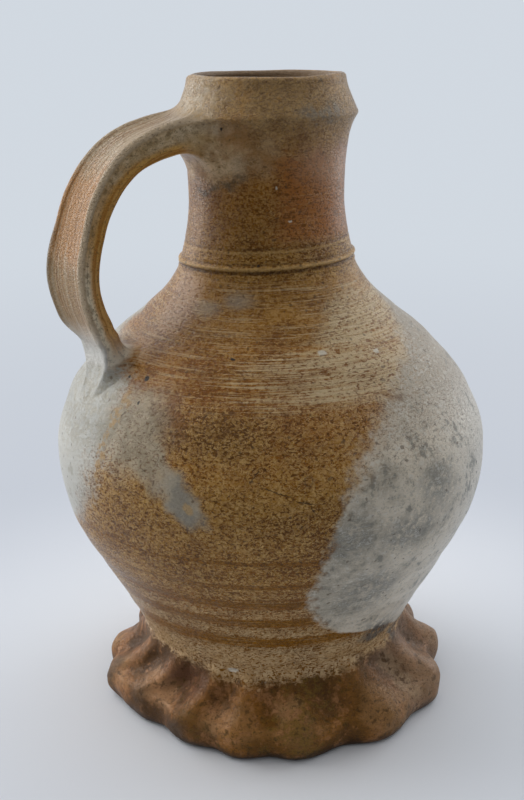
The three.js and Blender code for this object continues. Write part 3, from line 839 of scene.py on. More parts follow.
    def net(self, colour):
        """The worm-like net of pale skin round dark pits that salt leaves on clay."""
        high = self.height.ramp(0.214, 0.224)
        cover = self.curve(self.height + (self.streak - 0.5) * 0.006, NET, HEIGHTS, (0.0, 1.0))
        cover = cover + (self.cloud - 0.5) * 0.9 + (self.blotch - 0.5) * 0.8 + (self.streak - 0.5) * 0.5
        cover = cover - self.red * 0.4 - self.rings * 0.6 - self.smear * 0.3
        neck = self.height.ramp(0.176, 0.186)
        thread = abs(self.worm + cover * 0.1 - 0.58).ramp(0.06, 0.018)
        skin = (self.worm + cover * 0.22).ramp(0.64, 0.74) * 0.75
        skin = skin.most(thread * cover.ramp(0.02, 0.3))
        pits = (self.worm + cover * 0.1).ramp(0.5, 0.42)
        self.relief = skin - pits * 0.8
        strength = self.fleck.ramp(0.38, 0.6) * 0.35 + 0.6
        strength = strength * (1 - self.shoulder * 0.4 - neck * 0.35)
        tint = self.mix(self.grain.ramp(0.4, 0.6), "skin_brown", "flecks")
        tint = self.mix(self.height.ramp(0.086, 0.04) * 0.7, tint, "skin_low")
        colour = self.mix(skin * strength, colour, tint)
        low = self.height.ramp(0.092, 0.07)
        depth = 0.9 - self.shoulder * 0.45 - neck * 0.2 - high * 0.25 - low * 0.3
        return self.mix(pits * depth, colour, "pit")

    def shade(self):
        """The whole glaze, from its brown ground to the small marks on it."""
        z, turn = self.height, self.turn
        self.smear = self.spot("neck_smear")
        # Red side of the neck.
        red = (turn + self.wild * 26).ramp(-4.0, 18.0) * turn.ramp(110.0, 80.0)
        red = red * (z + self.wild * 0.01).ramp(0.181, 0.188)
        self.red = red * (z + self.wild * 0.012).ramp(0.219, 0.212)
        colour = self.mix(self.red * 0.9, self.ground(), "red")
        # Buff side of the shoulder.
        buff = turn + self.wild * 20 + (self.fine_streak - 0.5) * 90
        buff = buff.ramp(-12.0, 22.0) * (z + self.wild * 0.008).ramp(0.133, 0.139)
        buff = buff * (z + self.wild * 0.012 - turn.ramp(10.0, 45.0) * 0.014).ramp(0.156, 0.148)
        far = turn.ramp(42.0, 66.0) * z.ramp(0.126, 0.14) * z.ramp(0.175, 0.16)
        buff = (buff * (self.fine_streak.ramp(0.36, 0.56) * 0.45 + 0.36)).most(far * 0.1)
        colour = self.mix(self.spot("dark_belly") * 0.95, colour, "dark_belly")
        colour = self.net(self.lines(colour))
        colour = self.mix(buff * self.worm.ramp(0.36, 0.52), colour, "buff")
        # Painted highlights in pink beside the handle, grey blotches on the shoulder, and painted light in
        # pink on the right of the neck.
        highlight = self.spot("shoulder_highlight").most(self.spot("neck_highlight") * 0.6)
        blots = self.spot("near_blot").most(self.spot("left_blot"))
        colour = self.lay(
            colour,
            (highlight * self.worm.ramp(0.38, 0.5) * 0.6, "pink"),
            (blots * 0.5, "dim_grey"),
            # Painted light on the right of the neck.
            (self.spot("neck_right_light") * 0.35, "pink"),
        )
        for layer in (self.ring_lines, self.greys, self.smears):
            colour = layer(colour)
        return self.blemishes(colour)

    def ring_lines(self, colour):
        """Painted highlight along the cordon's crest and painted shade in its grooves, and the thin lines cut
        over it: a pale line and painted shade in the cut.
        """
        s = self.pot.sizes
        level = self.aside / self.reach * s.cordon_skew + (s.neck_foot_height + s.cordon_rise)
        off = (self.height - level) / s.cordon_half_width + self.wild * 0.6
        # Painted highlight along the crest.
        crest = self.band(off, 0.0, 0.9) * 0.55
        # Painted shade in the grooves beside the crest and in the cut line above.
        grooves = self.band(off, -1.8, 0.8).most(self.band(off, 1.7, 0.6) * 0.6)
        grooves = grooves.most(self.band(off, 8.2, 0.6) * 0.6) * self.fleck.ramp(0.3, 0.55)
        return self.lay(
            colour,
            (crest, "flecks"),
            (self.band(off, 6.8, 0.6) * 0.4, "flecks"),
            (grooves * 0.7, "groove"),
        )

    def band(self, value, middle, half):
        """1 where a value is this one, fading to 0 at half its width away."""
        return abs(value - middle).ramp(half * 1.3, half * 0.4)

    def greys(self, colour):
        """Grey sides of the belly, where the flame kept the air from the clay."""
        z, turn = self.height, self.turn
        high = z.ramp(0.104, 0.13)
        edge = self.curve(z, GREY_EDGE, HEIGHTS, TURNS)
        beyond = (turn + self.wild * (9.0 + high * 14.0) - edge) / (1.6 + high * 6.0)
        right = beyond.ramp(-1.0, 1.2) * (z + self.wild * 0.006).ramp(0.034, 0.038)
        right = right * turn.ramp(165.0, 130.0) * (1 - high * self.worm.ramp(0.5, 0.4) * 0.35)
        cloud = self.cloud * 0.4 + self.blotch * 0.6 + turn.ramp(20.0, 70.0) * 0.1
        grey = self.mix(cloud.ramp(0.4, 0.62), "dim_grey", "grey")
        grey = self.mix(turn.ramp(40.0, 72.0) * 0.8, grey, "cream")
        grey = self.mix(z.ramp(0.12, 0.14) * 0.9, grey, "high_grey")
        slate = (self.blotch * 0.6 + self.fleck * 0.4).ramp(0.45, 0.37)
        for place in SLATE_CLOUDS:
            slate = slate.most(self.patch(*place, 1.0) * self.fleck.ramp(0.36, 0.56))
        grey = self.lay(
            grey,
            (slate * 0.75, "slate"),
            ((self.fleck * 0.5 + self.worm * 0.5).ramp(0.47, 0.4) * 0.5, "slate_light"),
            ((self.fleck * 0.5 + self.worm * 0.5).ramp(0.54, 0.6) * 0.5, "cream"),
            (self.fine_streak.ramp(0.54, 0.66) * 0.28, "cream"),
            (self.grain.ramp(0.4, 0.33) * 0.35, "slate"),
        )
        edge = self.curve(z, PALE_EDGE, HEIGHTS, TURNS)
        specked = (self.worm - 0.5) * 22
        left = (turn + self.wild * 14 - specked - edge).ramp(6.0, -8.0) * turn.ramp(-165.0, -130.0)
        uneven = self.wild * 0.006 + turn.ramp(-78.0, -100.0) * (self.cloud + self.streak - 1.0) * 0.06
        left = left * (z + uneven).ramp(0.153, 0.143)
        top = (self.spot("pale_cloud") + self.spot("pale_run") * 0.7).clear()
        top = top * (0.35 + (self.worm + top * 0.1).ramp(0.45, 0.58) * 0.65)
        pale = self.mix((self.fleck * 0.6 + self.worm * 0.4).ramp(0.42, 0.56), "pale_dull", "pale_clear")
        stain = self.blotch.ramp(0.44, 0.36) * z.ramp(0.125, 0.11)
        pale = self.mix(z.ramp(0.124, 0.106) * 0.7, pale, "pale_low")
        pale = self.mix(stain * 0.45, pale, "stain")
        pale = self.mix(turn.ramp(-92.0, -118.0) * 0.9, pale, "pale_back")
        mottled = self.mix(self.blotch.ramp(0.42, 0.58), "mottle_dark", "mottle_pale")
        rust = self.spot("rust_line") * self.fleck.ramp(0.46, 0.56)
        drip = self.spot("slate_run")
        run = self.mix(self.blotch.ramp(0.42, 0.56), "slate_light", "dim_grey")
        colour = self.lay(
            colour,
            (right, grey),
            (left, pale),
            (top * 0.85, mottled),
            (rust * 0.6, "rust"),
            (drip * 0.9, run),
            (self.spot("run_scar") * 0.8, "scar"),
        )
        self.pale = right.most(left)
        self.smooth = right.most(left * 0.5).most(drip)
        return colour

    def side_tint(self):
        """Olive clay of the strap's side, pitted and smeared."""
        tone = (self.blotch * 0.6 + self.fleck * 0.4).ramp(0.4, 0.6)
        tint = self.mix(tone, "olive_dark", "olive")
        return self.lay(
            tint,
            (self.cloud.ramp(0.5, 0.62) * 0.35, "dim_grey"),
            (self.worm.ramp(0.46, 0.38) * 0.4, "olive_pit"),
            (self.fleck.ramp(0.39, 0.33) * 0.6, "olive_fleck"),
        )

    def smears(self, colour):
        """Olive clay smeared on the neck round the handle's upper end, with a painted shadow along its lower
        edge and painted highlights on the rim and flange.
        """
        ragged = self.smear * (0.45 + self.blotch.ramp(0.38, 0.58) * 0.5)
        warm = self.spot("warm_neck").most(self.spot("warm_smear"))
        # Painted highlights on the rim and flange on the left.
        cream = self.spot("rim_highlight").most(self.spot("flange_highlight") * 0.8)
        # Painted shadow under the smear's lower edge and at its corner.
        dark = self.spot("smear_edge") * self.fleck.ramp(0.34, 0.54)
        dark = dark.most(self.spot("smear_corner_shadow") * self.fleck.ramp(0.38, 0.52))
        smoke = self.spot("flange_smoke") * self.fleck.ramp(0.4, 0.54)
        return self.lay(
            colour,
            (ragged, self.side_tint()),
            (warm * self.fleck.ramp(0.36, 0.56) * 0.55, "warm_clay"),
            (cream * (0.35 + self.fleck.ramp(0.4, 0.6) * 0.45), "strap_cream"),
            (dark * 0.8, "smear_edge"),
            (smoke * 0.6, "slate"),
        )

    def blemishes(self, colour):
        """Iron spots, chips, cracks and a popped bubble."""
        for turn, height, size in IRON_SPOTS:
            colour = self.mix(self.patch(turn, height, size, size, 0.6, fine=True), colour, "iron")
        for chip in CHIPS:
            colour = self.mix(self.patch(*chip, 0.6, fine=True) * 0.85, colour, "chip")
        for *crack, slant in CRACKS:
            colour = self.mix(self.patch(*crack, 0.8, slant, fine=True) * 0.8, colour, "crack")
        self.dents = (self.spot("bubble_rim") - self.spot("bubble_hole")).clear()
        colour = self.mix(self.dents * 0.55, colour, "bubble")
        specks = self.noise(0.0018, 0.0, 0.5).ramp(0.235, 0.19)
        return self.mix(specks * 0.55, colour, "speck")

    def foot(self, colour):
        """Bare clay of the pressed foot, up to the ragged edge of the glaze, with painted shade in its
        hollows and along its lower edge, painted highlights on its crests and painted light on its lit lobes.
        """
        side = ((self.turn * self.turn) ** 0.5).ramp(15.0, 60.0)
        over = self.height + self.wild * 0.008 + (self.worm - 0.5) * 0.006 - (GLAZE_EDGE + side * 0.003)
        self.bare = over.ramp(0.0018, -0.0018)
        lean = self.reach - self.curve(self.height, FOOT_LINE, (0.0, 0.05), (0.0, 0.1)) + self.wild * 0.002
        # The foot's hollows get painted shade and its crests painted highlights, by how far the clay stands
        # out.
        hollow = lean.ramp(0.0006, -0.0026)
        crest = lean.ramp(0.0004, 0.0026)
        tone = (self.cloud * 0.35 + self.blotch * 0.65).ramp(0.42, 0.6)
        clay = self.mix(side * 0.85, "foot_brown", "foot_red")
        rosy = (self.blotch * 0.5 + self.fleck * 0.5).ramp(0.52, 0.62)
        olive = (self.cloud * 0.5 + self.fleck * 0.5).ramp(0.47, 0.4) * (1 - side * 0.6)
        run = self.spot("foot_run") * self.fleck.ramp(0.34, 0.52)
        clay = self.lay(
            clay,
            ((1 - tone) * 0.75, "foot_dark"),
            # Painted shade in the hollows, then painted highlight on the crests.
            (hollow * (0.7 + side * 0.25), "groove"),
            (crest * (0.35 + side * 0.3), "foot_tan"),
            (self.spot("foot_purple") * 0.45, "foot_purple"),
            (rosy * 0.6, "foot_rosy"),
            (olive * 0.6, "foot_olive"),
            # Painted shadows in the hollows of the lobes.
            (self.group(FOOT_SHADOWS) * 0.9, "foot_smoke"),
            (self.turn.ramp(34.0, 60.0) * 0.45, "foot_right"),
            # Painted light on the lit faces of the lobes.
            (self.group(FOOT_LIT) * 0.65, "foot_warm"),
            (run * 0.6, "foot_run"),
            (self.fleck.ramp(0.43, 0.35) * 0.6, "foot_pit"),
            (self.grain.ramp(0.44, 0.32) * 0.5, "foot_grain"),
            # Painted shade along the foot's lower edge, where it meets the table.
            ((self.height + self.wild * 0.004).ramp(0.0055, 0.001) * 0.8, "foot_edge"),
        )
        colour = self.mix(self.bare, colour, clay)
        soot = self.spot("soot_line").most(self.spot("soot_drop")) * self.fleck.ramp(0.36, 0.48)
        return self.mix(soot * 0.85, colour, "soot")

    def strap(self, colour):
        """Thin pale glaze of the strap, which runs out on the clay smeared round its ends, with a painted
        highlight on its near ridge and painted shade beside it.
        """
        z = self.height
        spot = self.node("ShaderNodeUVMap", {"uv_map": "OFBake"})
        parts = self.node("ShaderNodeSeparateXYZ", sockets={"Vector": spot}, whole=True)
        # Share of the way round the section: 0 on the far side, a quarter on the outer face, a half on the
        # near side, then the inner face.
        part = Value(self, parts.outputs[0]) + self.wild * 0.02
        along = Value(self, parts.outputs[1])
        lengthwise = {0: part * 70.0, 1: along * 2.6, 2: self.blotch * 1.5}
        drawn = self.node("ShaderNodeCombineXYZ", sockets=lengthwise)
        drawn = self.node("ShaderNodeTexNoise", sockets={"Vector": drawn, "Scale": 1.0, "Detail": 4.0})
        middle = (z + self.wild * 0.02).ramp(0.172, 0.186) * (z + self.wild * 0.02).ramp(0.216, 0.206)
        low = (z + self.wild * 0.008).ramp(0.16, 0.146)
        outer = part.ramp(0.03, 0.07) * part.ramp(0.425, 0.37)
        # Painted highlight along the near ridge, and painted shade on the side just past it.
        ridge = part.ramp(0.39, 0.42) * part.ramp(0.46, 0.443)
        side = part.ramp(0.445, 0.462)
        ridge_shadow = side * part.ramp(0.492, 0.465)
        inner = (part - z.ramp(0.2, 0.222) * 0.035).ramp(0.47, 0.506)
        far = part.ramp(0.125, 0.07) * (z + self.wild * 0.02).ramp(0.196, 0.184)
        far = far * (z + self.wild * 0.01).ramp(0.15, 0.158)
        channel = self.mix(middle * 0.9, "strap_buff", "strap_orange")
        channel = self.lay(
            channel,
            (z.ramp(0.205, 0.22) * 0.45, "strap_cream"),
            (drawn.ramp(0.5, 0.64) * 0.42, "strap_cream"),
            (drawn.ramp(0.49, 0.36) * 0.75, "strap_drawn"),
        )
        clay = self.mix(outer, "strap_buff", channel)
        flank = self.mix(middle * 0.5, self.side_tint(), "flank_orange")
        flank = self.mix(z.ramp(0.19, 0.17) * 0.95, flank, "flank_low")
        flank = self.mix(drawn.ramp(0.47, 0.36) * 0.4, flank, "flank_drawn")
        orange = self.mix(drawn.ramp(0.44, 0.56), "inner_dark", "inner_pale")
        pale = self.mix(self.fleck.ramp(0.4, 0.6), "tail_dull", "tail_pale")
        clay = self.lay(
            clay,
            (far, "strap_far"),
            # Painted highlight on the near ridge.
            (ridge * 0.55, "strap_cream"),
            (side, flank),
            # Painted shade beside the near ridge.
            (ridge_shadow * self.fleck.ramp(0.52, 0.38) * 0.6, "strap_seam"),
            (inner * self.proud.ramp(0.004, 0.014) * 0.9, orange),
            (part.ramp(0.6, 0.72) * 0.7, "inner_far"),
            (self.grain.ramp(0.42, 0.34) * 0.55, "strap_grain"),
            (low * (1 - side * 0.55), pale),
        )
        wrapped = self.proud + self.wild * 0.006 - z.ramp(0.15, 0.134) * 0.0045
        return self.mix(wrapped.ramp(0.0005, 0.0055), colour, clay)

    def done(self, colour, roughness, ior=1.5):
        """The finished material, with the relief of net, grain and bubble."""
        bump = self.relief * NET_RELIEF * (1 - self.smooth * 0.35)
        bump = bump + self.grain * GRAIN_RELIEF + self.fleck * FLECK_RELIEF - self.dents * BUBBLE_RELIEF
        rough = roughness + (self.grain - 0.5) * 0.1 + self.pale * 0.08
        return self.finish({"Base Color": colour, "Roughness": rough, "IOR": ior}, bump)


def glaze_material(pot):
    """The thrown wall: glaze outside, bare clay by the foot, a dull brown inside."""
    look = Stoneware("salt_glaze", pot)
    colour = look.foot(look.shade())
    colour = look.mix(look.proud.ramp(-0.0018, -0.0026), colour, "inside")
    return look.done(colour, 0.28 + look.bare * 0.1)


def foot_material(pot):
    """The pressed foot: bare clay up to the glaze."""
    look = Stoneware("bare_foot", pot)
    colour = look.foot(look.shade())
    return look.done(colour, 0.3 + look.bare * 0.12, 1.4)


def strap_material(pot):
    """The handle: pale glaze, which runs out on the wall's own glaze."""
    look = Stoneware("pale_strap", pot)
    colour = look.strap(look.shade())
    return look.done(colour, 0.3)


class JUG_OT_vessel(Operator):
    """Throws the base, belly, neck, flange and lip in one"""

    bl_idname = "jug.vessel"
    bl_label = "Thrown Vessel"

    columns = 308

    def execute(self, context):
        pot = Pot()
        s = pot.sizes
        turn = np.linspace(0, 2 * math.pi, self.columns, endpoint=False)
        rows = [around(share * s.base_radius, turn, 0.0) for share in (0.15, 0.4, 0.65, 0.85)]
        rows.append(around(s.base_radius - 1.5 * MM, turn, 0.0))
        rows.append(around(s.base_radius - 0.4 * MM, turn, 0.5 * MM))
        lip = s.lip_thickness / 2
        top = s.rim_height - lip
        hidden = np.linspace(0.0015, 0.022, 6)
        heights = np.concatenate([hidden, self.spread(pot, 0.0235, top, OUTSIDE_STEPS)])
        rows += [pot.wall(height, turn) for height in heights]
        centre = pot.radius(top, turn) - lip
        dip = 0.35 * MM * lumps(around(s.rim_radius, turn, 0.0), 0.012, pot.seed + 9)
        for bend in np.radians(range(20, 181, 20)):
            rows.append(around(centre + lip * math.cos(bend), turn, top + lip * math.sin(bend)))
        inner = self.spread(pot, s.floor_thickness + s.inside_corner, top - 1 * MM, INSIDE_STEPS)[::-1]
        for height in inner:
            across, up = pot.normal(height)
            clay = pot.clay(height)
            ring = around(pot.plain_radius(height) - across * clay, turn, height - up * clay)
            swell = 0.3 * MM * lumps(ring * (0.2, 0.2, 1.0), 0.006, pot.seed + 5)
            rows.append(ring + swell[:, None] * np.stack([np.cos(turn), np.sin(turn), turn * 0], -1))
        corner = rows[-1]
        corner_radius = np.hypot(corner[:, 0], corner[:, 1]).mean()
        rise = corner[:, 2].mean() - s.floor_thickness
        for bend in np.radians((18, 36, 54, 72, 90)):
            radius = corner_radius - s.inside_corner * (1 - math.cos(bend))
            rows.append(around(radius, turn, s.floor_thickness + rise * (1 - math.sin(bend))))
        flat = corner_radius - s.inside_corner
        rows += [around(flat * share, turn, s.floor_thickness) for share in (0.75, 0.5, 0.25, 0.08)]
        rows = np.stack(rows)
        rim = soft_step((rows[..., 2] - (s.rim_height - 0.01)) / 0.01)
        rows[..., 2] += rim * dip
        mesh = grid_mesh("jug_vessel", rows, start=(0, 0, 0), end=(0, 0, s.floor_thickness))
        add_piece("jug_vessel", mesh, "thrown_vessel", glaze_material(pot))
        return {"FINISHED"}

    @staticmethod
    def spread(pot, low, high, steps):
        """Heights whose rows lie as far apart along the wall as the steps say at that height."""
        heights = np.linspace(low, high, FINE_STEPS)
        run = np.hypot(np.diff(heights), np.diff(pot.plain_radius(heights)))
        places, sizes = zip(*steps)
        rows = np.concatenate([[0], np.cumsum(run / np.interp(heights[1:], places, sizes))])
        return np.interp(np.linspace(0, rows[-1], int(rows[-1])), rows, heights)


class JUG_OT_foot(Operator):
    """Presses the strip of clay round the base into lobes"""

    bl_idname = "jug.foot"
    bl_label = "Pressed Foot"

    columns = 760
    slope_rows = 44
    # Where the slope meets the rounded tip, and how far the tip bends it outwards.
    tip_bend = math.radians(-48)
    tip_pull = 3.6 * MM

    def execute(self, context):
        pot = Pot()
        s = pot.sizes
        turn = np.linspace(0, 2 * math.pi, self.columns, endpoint=False)
        rows = self.slope(pot, turn)
        under = np.hypot(rows[-1][:, 0], rows[-1][:, 1])
        for share in (0.3, 0.65, 1.0):
            rows.append(around(under + (s.base_radius + 0.2 * MM - under) * share, turn, 0.0))
        for height in (0.004, 0.01, 0.016, 0.022, 0.027):
            rows.append(around(pot.plain_radius(height) - 0.8 * MM, turn, height))
        mesh = grid_mesh("jug_foot", self.worked(pot, np.stack(rows)), loop=True)
        add_piece("jug_foot", mesh, "frilled_foot", foot_material(pot))
        return {"FINISHED"}

    @staticmethod
    def lobes(turn, upness):
        """Reach, crest and hollowness at each turn, for a height as a share of the foot's."""
        places = np.radians([lobe[0] + lobe[2] * upness for lobe in LOBES])
        reach, crest, hollow, press = (np.zeros_like(turn) for _ in range(4))
        for i, lobe in enumerate(LOBES):
            after = (i + 1) % len(LOBES)
            span = (places[after] - places[i]) % (2 * math.pi)
            along = (turn - places[i]) % (2 * math.pi) / span
            here = along < 1
            u = along[here]
            high = (0.5 + 0.5 * np.cos(2 * math.pi * u)) ** 0.8
            blend = soft_step(u)
            tip = np.where(u < 0.5, lobe[1], LOBES[after][1])
            reach[here] = (lobe[4] + (tip - lobe[4]) * high) * MM
            crest[here] = high**1.7
            hollow[here] = lobe[3] * (1 - blend) + LOBES[after][3] * blend
            press[here] = lobe[5] * MM
        return reach, crest, hollow, press

    def slope(self, pot, turn):
        """The outer face, from its thumbed-down upper edge over the lobes to the table."""
        s = pot.sizes
        edge = s.foot_height + 1.2 * MM * lumps(around(0.05, turn, 0.0), 0.012, pot.seed + 6)
        top = pot.radius(edge, turn) - 0.25 * MM
        inward = s.foot_rounding * (1 - math.cos(self.tip_bend))
        low = s.tip_height * (1 - math.sin(self.tip_bend))
        rows = []
        for u in np.linspace(0, 1, self.slope_rows):
            reach, crest, hollow, press = self.lobes(turn, 1 - u)
            nose = reach - inward
            fall = edge - low
            share = four_shares(u)
            across = share[0] * top + share[1] * (top + 0.3 * MM) + share[2] * (nose - 0.55 * self.tip_pull)
            height = share[0] * edge + share[1] * (edge - hollow * fall * 1.05)
            height = height + share[2] * (low + 0.84 * self.tip_pull) + share[3] * low
            across = across + share[3] * nose - (1 - crest) * press * 4 * u * (1 - u) * (0.4 + 0.6 * u)
            rows.append(around(across, turn, height))
        reach = self.lobes(turn, 0)[0]
        for bend in np.radians((*range(-36, 73, 12), 82, 90)):
            inward = s.foot_rounding * (1 - math.cos(bend))
            rows.append(around(reach - inward, turn, s.tip_height * (1 - math.sin(bend))))
        return rows

    @staticmethod
    def worked(pot, rows):
        """Unevenness left by the fingers, which fades out at the table and at the upper edge."""
        height = rows[..., 2]
        fade = soft_step(height / (4 * MM)) * soft_step((pot.sizes.foot_height - 1 * MM - height) / (8 * MM))
        push = 0.9 * lumps(rows, 0.012, pot.seed + 7) + 0.5 * lumps(rows, 0.0055, pot.seed + 8)
        push = MM * fade * (push + 0.18 * lumps(rows, 0.0026, pot.seed + 12))
        outward = rows * (1, 1, 0)
        outward /= np.linalg.norm(outward, axis=-1, keepdims=True)
        return rows + outward * push[..., None]


class JUG_OT_handle(Operator):
    """Pulls the strap and presses its ends on the neck and the shoulder"""

    bl_idname = "jug.handle"
    bl_label = "Strap Handle"

    columns = 144
    strap_rows = 190
    top_share = 0.15
    low_share = 0.925
    # Rows of each flared end, then how hard the strap and the wall pull on its curve.
    neck_flare = (44, 0.5, 0.45)
    shoulder_flare = (56, 0.42, 0.62)
    # Rows over which the unevenness fades out at either end.
    fading = 14

    def execute(self, context):
        pot = Pot()
        shares = np.linspace(self.top_share, self.low_share, self.strap_rows)
        strap, onward = self.strap_rings(pot, shares)
        top = self.flare(strap[0], -onward[0], self.neck_print, pot, *self.neck_flare)
        falling = onward[-1] * 0.45 + np.array([0.0, 0.0, -0.55])
        falling /= np.linalg.norm(falling)
        low = self.flare(strap[-1], falling, self.shoulder_print, pot, *self.shoulder_flare)
        low = self.melted(low)
        rows = self.worked(pot, np.concatenate([top[::-1], strap[1:-1], low]))
        start, end = self.buried(self.neck_print, pot), self.buried(self.shoulder_print, pot)
        rows = np.concatenate([start, rows, end[::-1]])
        mesh = grid_mesh("jug_handle", rows)
        add_piece("jug_handle", mesh, "strap_handle", strap_material(pot))
        return {"FINISHED"}

    def section(self):
        """Places round the strap's section as (across, out), evenly spaced."""
        angle = np.linspace(0, 2 * math.pi, FINE_STEPS)
        across = np.sign(np.cos(angle)) * np.abs(np.cos(angle)) ** 0.26
        out = np.sign(np.sin(angle)) * np.abs(np.sin(angle)) ** 0.34
        travel = np.concatenate([[0], np.cumsum(np.hypot(np.diff(across) * 13, np.diff(out) * 5))])
        even = np.linspace(0, travel[-1], self.columns, endpoint=False)
        return np.interp(even, travel, across), np.interp(even, travel, out)

    def strap_rings(self, pot, shares):
        s = pot.sizes
        line = curve_through(np.array(STRAP_LINE) * MM)
        step = 0.004
        middle = line(shares)
        travel = line(np.minimum(shares + step, 1)) - line(np.maximum(shares - step, 0))
        travel /= np.linalg.norm(travel, axis=1, keepdims=True)
        places = [row[0] for row in STRAP_SIZES]
        width, thickness, twist, shift = (
            smooth_through(list(zip(places, [row[i] for row in STRAP_SIZES])))(shares) for i in (1, 2, 3, 4)
        )
        width, thickness, twist = width * MM / 2, thickness * MM / 2, np.radians(twist)
        across, out = self.section()
        side = np.array([0.0, 1.0, 0.0])
        rings = []
        for i, share in enumerate(shares):
            centre = np.array([-middle[i, 0], s.handle_lean * (share - 0.5) + shift[i] * MM, middle[i, 1]])
            outward = np.array([travel[i, 1], 0.0, travel[i, 0]])
            face = outward * math.cos(twist[i]) - side * math.sin(twist[i])
            flank = side * math.cos(twist[i]) + outward * math.sin(twist[i])
            hollow = s.channel_depth * (1 - np.abs(across) ** 2.2)
            ridge = s.ridge_height * np.exp(-(((np.abs(across) - 0.8) / 0.13) ** 2))
            worn = 1 - 0.8 * soft_step((share - 0.84) / 0.1)
            lift = np.where(out > 0, soft_step(out * 1.4) * (ridge - hollow) * worn, 0)
            ring = centre + np.outer(across * width[i], flank) + np.outer(out * thickness[i] + lift, face)
            rings.append(ring)
        onward = np.stack([-travel[:, 0], np.zeros(len(shares)), travel[:, 1]], axis=1)
        return np.array(rings), onward

    def outline(self, table, scale):
        """Side shift and height of an outline at the section's points, at a share of its full size."""
        across, out = self.section()
        spot = np.degrees(np.arctan2(out, across)) % 360
        stations = [(row[0] + lap, row[1], row[2]) for lap in (-360, 0, 360) for row in table]
        side = smooth_through([row[:2] for row in stations])(spot)
        height = smooth_through([(row[0], row[2]) for row in stations])(spot)
        middle = side.mean(), (height.max() + height.min()) / 2
        return middle[0] + (side - middle[0]) * scale, middle[1] + (height - middle[1]) * scale

    def neck_print(self, pot, scale):
        """The clay smeared on the neck."""
        side, height = self.outline(NECK_PRINT, scale)
        return HANDLE + np.radians(side), height

    def shoulder_print(self, pot, scale):
        """The foot of the strap and its tail on the shoulder."""
        side, height = self.outline(SHOULDER_PRINT, scale)
        return HANDLE + side * MM / pot.plain_radius(height), height

    @staticmethod
    def flare(ring, away, outline, pot, count, start_pull, end_pull):
        """Rows that leave a ring of the strap and come down smoothly on the wall."""
        turn, height = outline(pot, 1.0)
        end = pot.wall(height, turn, -0.22 * MM)
        turn_in, height_in = outline(pot, 0.92)
        landing = pot.wall(height, turn) - pot.wall(height_in, turn_in)
        landing /= np.linalg.norm(landing, axis=1, keepdims=True)
        gap = np.linalg.norm(end - ring, axis=1, keepdims=True)
        first = ring + away * gap * start_pull
        last = end - landing * gap * end_pull
        rows = []
        for u in np.linspace(0, 1, count):
            rows.append(sum(share * place for share, place in zip(four_shares(u), (ring, first, last, end))))
        return np.array(rows)

    @staticmethod
    def melted(rows):
        """Rows whose corners melt away on the way down and which end as they did."""
        u = np.linspace(0, 1, len(rows))
        share = 0.8 * soft_step(u / 0.5) * soft_step((1 - u) / 0.08)
        round_rows = np.mean([np.roll(rows, step, axis=1) for step in range(-9, 10)], axis=0)
        return rows + (round_rows - rows) * share[:, None, None]

    @staticmethod
    def buried(outline, pot):
        """Rows inside the wall that close the end of the handle."""
        depth = 1.4 * MM
        prints = (outline(pot, scale) for scale in (0.04, 0.3, 0.6, 0.85, 0.97))
        return np.array([pot.wall(height, turn, -depth) for turn, height in prints])

    def worked(self, pot, rows):
        """Unevenness of the pulled clay, which fades out where it meets the wall."""
        fade = np.ones(len(rows))
        fade[: self.fading] = soft_step(np.linspace(0, 1, self.fading))
        fade[-self.fading :] = soft_step(np.linspace(1, 0, self.fading))
        along = np.roll(rows, -1, axis=1) - np.roll(rows, 1, axis=1)
        down = np.gradient(rows, axis=0)
        normal = np.cross(down, along)
        normal /= np.linalg.norm(normal, axis=-1, keepdims=True) + 1e-12
        push = 0.28 * lumps(rows, 0.013, pot.seed + 10) + 0.1 * lumps(rows, 0.0045, pot.seed + 11)
        return rows + normal * (MM * push * fade[:, None])[..., None]


